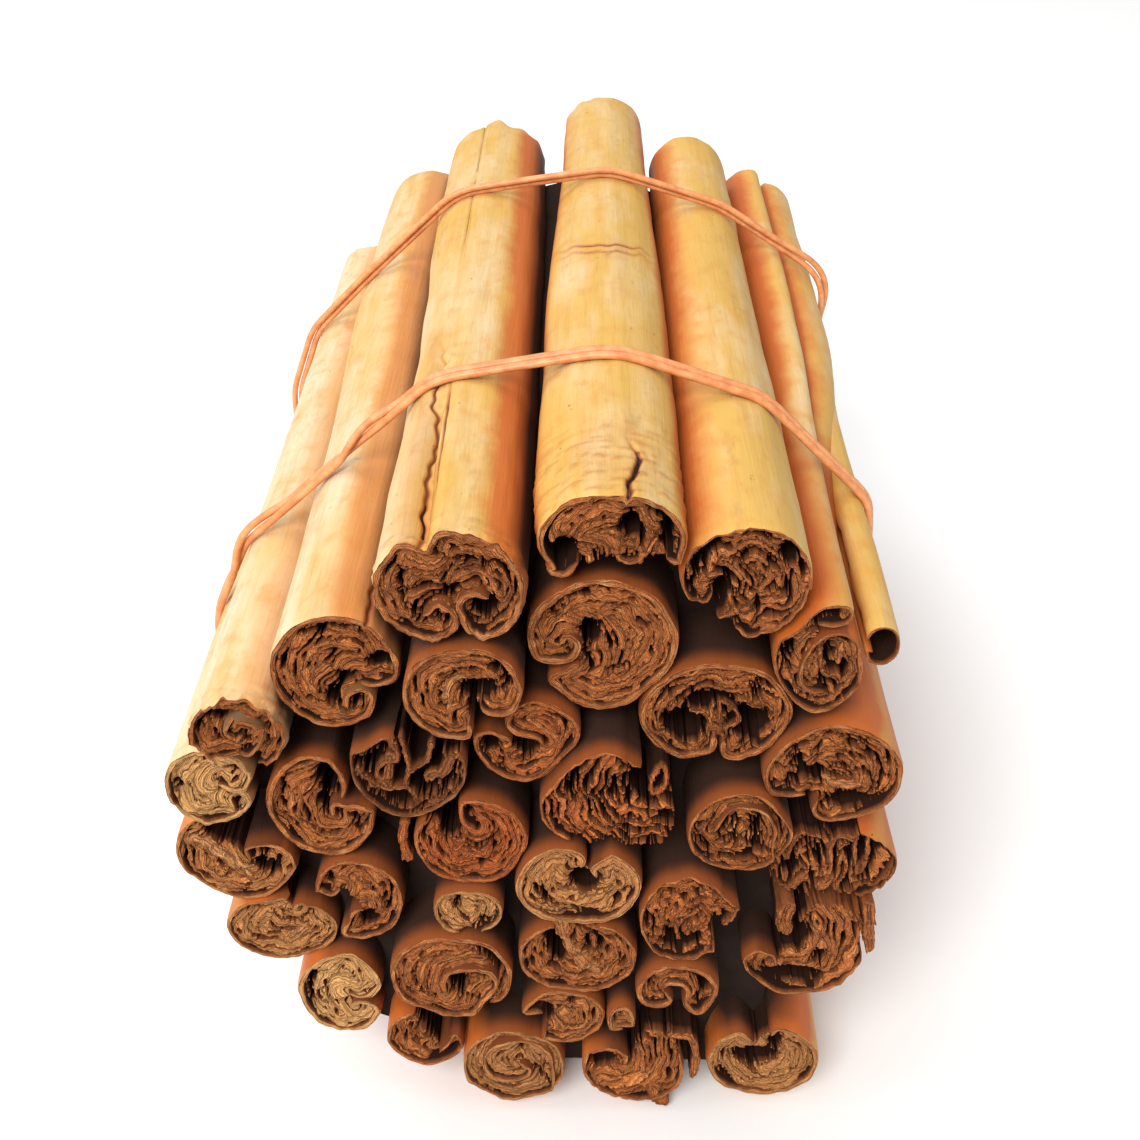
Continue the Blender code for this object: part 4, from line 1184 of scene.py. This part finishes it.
class Nodes:
    """Short ways to make shader nodes in one material."""

    def __init__(self, name):
        self.material = bpy.data.materials.new(name)
        self.material.use_nodes = True
        self.tree = self.material.node_tree
        self.shader = self.tree.nodes["Principled BSDF"]

    def node(self, kind, **settings):
        """A new node."""
        made = self.tree.nodes.new(kind)
        for key, value in settings.items():
            setattr(made, key, value)
        return made

    def set(self, socket, value):
        """Links a socket to another node's, or gives it a number or colour."""
        if isinstance(value, bpy.types.NodeSocket):
            self.tree.links.new(value, socket)
        else:
            socket.default_value = value

    def set_all(self, made, **values):
        """Sets the inputs of a node by their names, with _ for a space."""
        for name, value in values.items():
            self.set(made.inputs[name.replace("_", " ")], value)

    def in_turn(self, made, *values):
        """Sets the first inputs of a node in turn, and gives its first output."""
        for socket, value in zip(made.inputs, values):
            self.set(socket, value)
        return made.outputs[0]

    def attribute(self, name):
        """A value stored on the mesh."""
        return self.node("ShaderNodeAttribute", attribute_name=name).outputs["Fac"]

    def math(self, operation, a, b):
        """A sum, product or the like of two values."""
        return self.in_turn(self.node("ShaderNodeMath", operation=operation), a, b)

    def remap(self, value, low, high, out_low=0.0, out_high=1.0):
        """A value between two numbers, moved to between two others."""
        return self.in_turn(self.node("ShaderNodeMapRange"), value, low, high, out_low, out_high)

    def mix(self, share, a, b):
        """Two colours mixed."""
        made = self.node("ShaderNodeMix", data_type="RGBA")
        for name, value in (("Factor", share), (6, a), (7, b)):
            self.set(made.inputs[name], value)
        return made.outputs[2]

    def tints(self, base, rows):
        """A colour mixed with others in turn, each by a share that follows a value."""
        for value, low, high, share_low, share_high, colour in rows:
            base = self.mix(self.remap(value, low, high, share_low, share_high), base, colour)
        return base

    def seed(self):
        """A number of its own for each quill."""
        return self.math("MULTIPLY", self.attribute("seed"), SEED_SHIFT)

    def place(self, scale):
        """Where a point is in mm, times a scale, moved on by its quill's own number."""
        where = self.node("ShaderNodeTexCoord").outputs["Object"]
        big = self.in_turn(self.node("ShaderNodeVectorMath", operation="MULTIPLY"), where,
                           [s / MM for s in scale])
        return self.in_turn(self.node("ShaderNodeVectorMath", operation="ADD"), big, self.seed())

    def texture(self, where, detail, rough):
        """Noise at places that are already scaled."""
        made = self.node("ShaderNodeTexNoise")
        self.set_all(made, Vector=where, Scale=1.0, Detail=detail, Roughness=rough)
        return made.outputs["Fac"]

    def noise(self, scale, detail=3.0, rough=0.55):
        """Noise in space, with about so many lumps a mm each way."""
        return self.texture(self.place(scale), detail, rough)

    def layer_noise(self, along, across, detail=2.0, rough=0.5):
        """Noise drawn out along the rolled layers."""
        where = self.in_turn(self.node("ShaderNodeCombineXYZ"),
                             self.math("MULTIPLY", self.attribute("along"), along),
                             self.math("MULTIPLY", self.attribute("layer"), across), self.seed())
        return self.texture(where, detail, rough)

    def bump(self, height, strength, distance, normal=None):
        """Normals tipped by a height, on top of others if there are any."""
        made = self.node("ShaderNodeBump")
        self.set_all(made, Strength=strength, Distance=distance, Height=height)
        if normal is not None:
            self.set(made.inputs["Normal"], normal)
        return made.outputs["Normal"]

    def surface(self, colour, rough, shine=USUAL_SHINE, normal=None):
        """Finishes the material: its colour, roughness, specular level and normals."""
        self.set_all(self.shader, Base_Color=colour, Roughness=rough, Specular_IOR_Level=shine)
        if normal is not None:
            self.set(self.shader.inputs["Normal"], normal)
        return self.material


def srgb(red, green, blue):
    """A linear colour from 0 to 255 screen values."""
    shares = [value / 255 for value in (red, green, blue)]
    return [s / 12.92 if s <= 0.04045 else ((s + 0.055) / 1.055) ** 2.4 for s in shares] + [1.0]


BARK_CREAM = srgb(222, 200, 164)
BARK_GOLD = srgb(208, 166, 84)
BARK_DEEP = srgb(200, 142, 66)
# The orange is both the colour of amber quills and painted shade in the crevices between quills; the
# darkest colour is painted shade deep between them.
BARK_ORANGE_AND_SHADE = srgb(194, 98, 38)
BARK_SHADOW = srgb(44, 34, 30)


def bark_material():
    """The smooth outer face of the bark: tan, softly mottled and streaked along its length."""
    n = Nodes("bark_outer")
    streak = n.noise((1.3, 0.05, 1.3), 4.0)
    fibre = n.noise((4.0, 0.2, 4.0), 3.0)
    blotch = n.noise((0.2, 0.045, 0.2), 3.0)
    patch = n.noise((0.45, 0.3, 0.45), 4.0, 0.6)
    speck = n.noise((1.1, 0.6, 1.1), 2.0, 0.7)
    smudge = n.noise((0.3, 0.1, 0.3), 5.0, 0.7)
    amber, bark_shade, shade = n.attribute("amber"), n.attribute("painted_shade"), n.attribute("shade")
    tone = n.math("ADD", blotch, n.remap(amber, 0.0, 1.0, -0.14, 0.2))
    # Painted shade: gold, then orange (more so on amber quills), as the bark lies deeper in the
    # crevices between quills.
    edge = n.math("ADD", bark_shade, n.remap(patch, 0.3, 0.7, -0.03, 0.03))
    golden_shade = n.math("MULTIPLY", n.remap(edge, 0.07, 0.22), n.remap(amber, 0.0, 0.7, 0.4, 0.85))
    orange = n.math("MULTIPLY", n.remap(edge, 0.14, 0.3), n.remap(amber, 0.1, 0.8, 0.2, 0.95))
    base = n.tints(n.mix(n.remap(tone, 0.3, 0.72), BARK_CREAM, BARK_GOLD), [
        (patch, 0.5, 0.72, 0.0, 0.5, BARK_DEEP),
        (streak, 0.5, 0.75, 0.0, 0.4, BARK_DEEP),
        (amber, 1.2, 2.0, 0.0, 0.9, BARK_ORANGE_AND_SHADE),
        (smudge, 0.6, 0.74, 0.0, 0.4, srgb(150, 112, 72)),
        (fibre, 0.55, 0.8, 0.0, 0.25, srgb(170, 105, 50)),
        (speck, 0.7, 0.78, 0.0, 0.6, srgb(130, 76, 36)),
    ])
    base = n.mix(orange, n.mix(golden_shade, base, srgb(214, 158, 78)), BARK_ORANGE_AND_SHADE)
    # The first tint is painted shade deep between the quills; the brown follows stains, flecks, the
    # scar and the edges of cracks, and the near-black is painted shade in the cracks and the scar's
    # groove.
    base = n.tints(base, [
        (bark_shade, 0.5, 0.92, 0.0, 0.96, BARK_SHADOW),
        (shade, -0.5, 0.0, 0.85, 0.0, srgb(166, 84, 30)),
        (shade, -1.0, -0.35, 1.0, 0.0, srgb(44, 24, 16)),
    ])
    grain = n.bump(fibre, 0.2, 0.2 * MM)
    return n.surface(base, n.remap(blotch, 0.3, 0.7, 0.5, 0.66), 0.3,
                     n.bump(streak, 0.2, 0.4 * MM, grain))


def cut_lines(n, drawn):
    """The dark lines between the layers, wide and fine, as shares of how much they show."""
    strong = n.layer_noise(0.3, 0.9)
    wander = n.remap(n.layer_noise(0.45, 0.8), 0.3, 0.7, -0.35, 0.35)
    layer = n.math("ADD", n.attribute("layer"), wander)
    wide = n.remap(n.math("PINGPONG", layer, 0.5), 0.0, 0.16, 1.0, 0.0)
    wide = n.math("MULTIPLY", wide, n.remap(strong, 0.35, 0.6, 0.15, 1.0))
    fine = n.remap(n.math("PINGPONG", n.math("MULTIPLY", layer, 3.0), 0.5), 0.0, 0.3, 1.0, 0.0)
    return wide, n.math("MULTIPLY", fine, n.remap(drawn, 0.4, 0.65, 0.1, 0.8))


def cut_material():
    """The cut ends of the layers: fine lines that follow the roll, pitted and uneven."""
    n = Nodes("bark_cut")
    grain = n.noise((3.2, 3.2, 3.2), 5.0, 0.65)
    drawn = n.layer_noise(0.8, 3.2, 3.0, 0.6)
    wide, fine = cut_lines(n, drawn)
    shade, pale = n.attribute("shade"), n.attribute("pale")
    base = n.tints(n.mix(n.remap(drawn, 0.32, 0.66), srgb(164, 84, 40), srgb(240, 152, 80)), [
        (grain, 0.4, 0.75, 0.0, 0.5, srgb(128, 68, 36)),
        (shade, -1.0, 1.0, 0.55, 0.0, srgb(126, 66, 34)),
        (shade, 0.8, 2.2, 0.0, 0.75, srgb(230, 170, 112)),
        (pale, 0.0, 1.0, 0.0, 0.85, srgb(234, 178, 112)),
        (pale, -0.5, 0.0, 0.5, 0.0, srgb(104, 68, 44)),
        (n.attribute("red"), 0.0, 1.0, 0.0, 0.6, srgb(196, 80, 28)),
        (fine, 0.0, 1.0, 0.0, 0.5, srgb(104, 54, 34)),
        (wide, 0.0, 1.0, 0.0, 0.75, srgb(78, 44, 32)),
        # Painted shade at the rims next to gaps and deep inside them.
        (n.attribute("depth"), 0.0, 1.0, 0.0, 0.9, srgb(50, 28, 20)),
    ])
    pits = n.bump(grain, 0.5, 0.3 * MM)
    lines = n.math("SUBTRACT", n.math("MULTIPLY", drawn, 1.2), n.math("ADD", wide, fine))
    return n.surface(base, 0.85, 0.2, n.bump(lines, 0.9, 0.5 * MM, pits))


def inside_material():
    """The faces between the layers, with painted shade that darkens them away from the cut."""
    n = Nodes("bark_inside")
    base = n.mix(n.remap(n.noise((3.0, 0.5, 3.0), 4.0), 0.3, 0.7), srgb(120, 66, 38),
                 srgb(164, 98, 56))
    return n.surface(n.tints(base, [(n.attribute("depth"), 0.0, 0.7, 0.0, 0.96, srgb(38, 22, 17))]),
                     0.9, 0.1)


def core_material():
    """Painted shade: a near-black colour for the core, for the shadow deep between the quills."""
    n = Nodes("shadow_core")
    return n.surface(n.mix(n.noise((0.6, 0.3, 0.6)), srgb(38, 31, 29), srgb(52, 40, 35)), 0.9, 0.0)


def rubber_material():
    """Satin salmon rubber."""
    n = Nodes("band_rubber")
    cloud = n.remap(n.noise((0.8, 0.8, 0.8), 2.0), 0.35, 0.65)
    n.shader.inputs["Subsurface Weight"].default_value = 0.15
    n.shader.inputs["Subsurface Radius"].default_value = (0.8 * MM, 0.4 * MM, 0.2 * MM)
    return n.surface(n.mix(cloud, srgb(206, 130, 78), srgb(226, 158, 104)), 0.42)


# ---------------------------------------------------------------- stage, light and camera

FLOOR_HALF, FLOOR_DROP = 4.0, 0.0002       # m: half the floor's width, and how far it lies below 0
PALE_GREY = (0.9, 0.9, 0.9, 1)
LOOKS_DOWN, TURNED = 32.0, 0.65            # degrees: the camera's tilt, and its turn to the left
CAMERA_PLACE = (4.4, -104.0, 133.3)        # mm from the middle, front and bottom of the box
CAMERA_LENS, SENSOR = 47.37, 36.0          # mm


def add_floor():
    """A plain pale floor."""
    wide, lift = FLOOR_HALF, -FLOOR_DROP
    mesh = bpy.data.meshes.new("floor")
    mesh.from_pydata([(-wide, -wide, lift), (wide, -wide, lift), (wide, wide, lift),
                      (-wide, wide, lift)], [], [(0, 1, 2, 3)])
    floor = bpy.data.objects.new("floor", mesh)
    bpy.context.collection.objects.link(floor)
    mesh.materials.append(Nodes("floor").surface(PALE_GREY, 0.9))


def add_light(name, place, aim, size, watts, colour):
    """A square soft light that faces a point. Places and size are in m."""
    light = bpy.data.lights.new(name, "AREA")
    light.size = size
    light.energy = watts
    light.color = colour
    lamp = bpy.data.objects.new(name, light)
    lamp.location = place
    lamp.rotation_euler = (Vector(aim) - Vector(place)).to_track_quat("-Z", "Y").to_euler()
    bpy.context.collection.objects.link(lamp)


def add_world(strength):
    """White light from all round."""
    world = bpy.data.worlds.new("world")
    world.use_nodes = True
    back = world.node_tree.nodes["Background"]
    back.inputs["Color"].default_value = (1.0, 1.0, 1.0, 1)
    back.inputs["Strength"].default_value = strength
    bpy.context.scene.world = world


def add_camera():
    """The photo's view."""
    low, high = CAD_BOX
    right, forward, up = CAMERA_PLACE
    camera = bpy.data.objects.new("camera", bpy.data.cameras.new("camera"))
    camera.location = ((low[0] + high[0]) / 2 + right * MM, low[1] + forward * MM, low[2] + up * MM)
    camera.rotation_euler = (math.radians(90 - LOOKS_DOWN), 0, math.radians(TURNED))
    camera.data.lens = CAMERA_LENS
    camera.data.sensor_width = SENSOR
    camera.data.clip_start = 0.005
    bpy.context.collection.objects.link(camera)
    bpy.context.scene.camera = camera


# ---------------------------------------------------------------- the core and the bands

CORE_LOW = 16.0        # mm, the height under which quills count as the lowest row
CORE_INSETS = (6.0, 15.0)      # mm from the bundle's front to the core: lowest row, and all
CORE_REARS = (33.0, 20.0)      # mm from the bundle's rear to the core's last two rows of points
CORE_DROPS = (0.35, 0.85)      # its points under the quills' middles, as shares of their height


def match_quills():
    """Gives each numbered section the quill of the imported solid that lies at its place."""
    fronts = flat_ends(QUILLS_NODE, -1, FRONT_ENDS_WITHIN)
    rears = flat_ends(QUILLS_NODE, 1, REAR_ENDS_WITHIN)

    def nearest(ends, place):
        """The end whose middle is nearest a place."""
        return min(ends, key=lambda end: np.hypot(*(end.middle - place)))

    quills = []
    for number, section in SECTIONS.items():
        front = nearest(fronts, section.at)
        quills.append(Quill(number, section, front, nearest(rears, front.middle)))
    return quills


def core_points(quills):
    """Points under the middles of the quills, inside the bundle."""
    front, rear = CAD_BOX[0][1] / MM, CAD_BOX[1][1] / MM
    points = []
    for y in [front + inset for inset in CORE_INSETS] + [rear - inset for inset in CORE_REARS]:
        for q in quills:
            if y < front + CORE_INSETS[1] and q.front.middle[1] > CORE_LOW:
                continue
            share = (y - q.front.y) / (q.rear.y - q.front.y)
            if q.front.y + 1.0 < y < q.rear.y - 3.0 and q.section.fill > 0:
                x, z = (1 - share) * q.front.middle + share * q.rear.middle
                points += [(x, y, z - drop * q.front.at(-math.pi / 2)) for drop in CORE_DROPS]
    return points


def core_piece(quills):
    """The smaller core: it fills what is out of sight between the quills, in painted shade."""
    bm = bmesh.new()
    for point in core_points(quills):
        bm.verts.new(Vector(point) * MM)
    bmesh.ops.convex_hull(bm, input=bm.verts)
    mesh = bpy.data.meshes.new("shadow_core")
    bm.to_mesh(mesh)
    bm.free()
    mesh.materials.append(core_material())
    shadow_core = bpy.data.objects.new("shadow_core", mesh)
    bpy.context.collection.objects.link(shadow_core)
    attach(shadow_core, "root")
    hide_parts(QUILLS_NODE)


# The bands: where each lies along the bundle (mm from the front of the box), where its two turns
# change places (shares of the way round from the top, over the left, and how long that takes), and
# how they lie on top (degrees: 0 side by side, 90 one over the other).
BAND_LAY = {"rubber_band_front": (30.5, ((0.115, 0.05), (0.19, 0.06)), 12.0),
            "rubber_band_rear": (87.0, ((0.85, 0.12),), 128.0)}
STRAND = 0.44          # mm, half a strand's thickness
STRAND_WIDE, STRAND_HIGH = 0.92, 1.04      # its flattening: across, and away from the bundle
APART = 0.94           # mm between the middles of the two turns
BAND_STEP = 0.9        # mm between the points along a band


def band_loop(quills, y):
    """The even line on which a band lies, from the top over the left, and which way is out."""
    loop = envelope(quills, y, STRAND + 0.05)
    top = int(np.argmax(loop[:, 1]))
    loop = even_line(np.vstack([loop[top:], loop[:top + 1]]), BAND_STEP)[:-1]
    for _ in range(2):
        loop = (np.roll(loop, 1, 0) + 2 * loop + np.roll(loop, -1, 0)) / 4
    way = unit(np.roll(loop, -1, 0) - np.roll(loop, 1, 0))
    return loop, np.column_stack([way[:, 1], -way[:, 0]])


def band_path(quills, name):
    """The middle lines of a band that goes twice round the quills, as points in mm."""
    start, swaps, lie = BAND_LAY[name]
    y = CAD_BOX[0][1] / MM + start
    loop, outward = band_loop(quills, y)
    share = np.arange(len(loop)) / len(loop)
    phase = math.radians(lie) * (1 - np.sin(math.pi * share) ** 4)
    for at, wide in swaps:
        phase = phase + math.pi * smooth_step(share, at - wide / 2, at + wide / 2)
    sway = 0.35 * np.sin(math.tau * 2 * share) + 0.2 * np.sin(math.tau * 5 * share + 1)
    turns = []
    for at in (phase, phase + math.pi):
        flat = loop + outward * (APART * np.maximum(np.sin(at), 0))[:, None]
        turns.append(np.column_stack([flat[:, 0], y + APART / 2 * np.cos(at) + sway, flat[:, 1]]))
    return [np.vstack(turns)] if len(swaps) % 2 else turns


def band_piece(quills, name, material):
    """A rubber band as a fine tube, slightly flattened."""
    build = Build()
    for path in band_path(quills, name):
        way = unit(np.roll(path, -1, 0) - np.roll(path, 1, 0))
        side = unit(np.cross(way, [0.0, 1.0, 0.0]))
        over = np.cross(side, way)
        rings = [path + STRAND * (STRAND_WIDE * math.cos(turn) * side
                                  + STRAND_HIGH * math.sin(turn) * over)
                 for turn in np.linspace(0, math.tau, 11)]
        rings = [np.vstack([ring, ring[:1]]) for ring in rings]
        build.add_grid(rings, 0, [{}] * len(rings), True)
    piece = build.finish(name + "_strands", [material], seed=5)
    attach(piece, "root")
    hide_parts(name)


# ---------------------------------------------------------------- the scene

quills = match_quills()
bark = [bark_material(), cut_material(), inside_material()]
for quill in quills:
    quill_piece(quill, quills, bark)
core_piece(quills)
rubber = rubber_material()
for name in BANDS:
    band_piece(quills, name, rubber)
add_floor()
add_world(0.48)
add_light("key", (-0.55, 0.4, 1.2), (0, 0, 0.03), 1.5, 12.0, (1.0, 1.0, 1.0))
add_light("fill", (-0.35, -1.0, 0.9), (0, -0.03, 0.03), 0.7, 19.0, (1.0, 0.99, 0.97))
add_camera()
bpy.context.scene.view_settings.view_transform = "Standard"
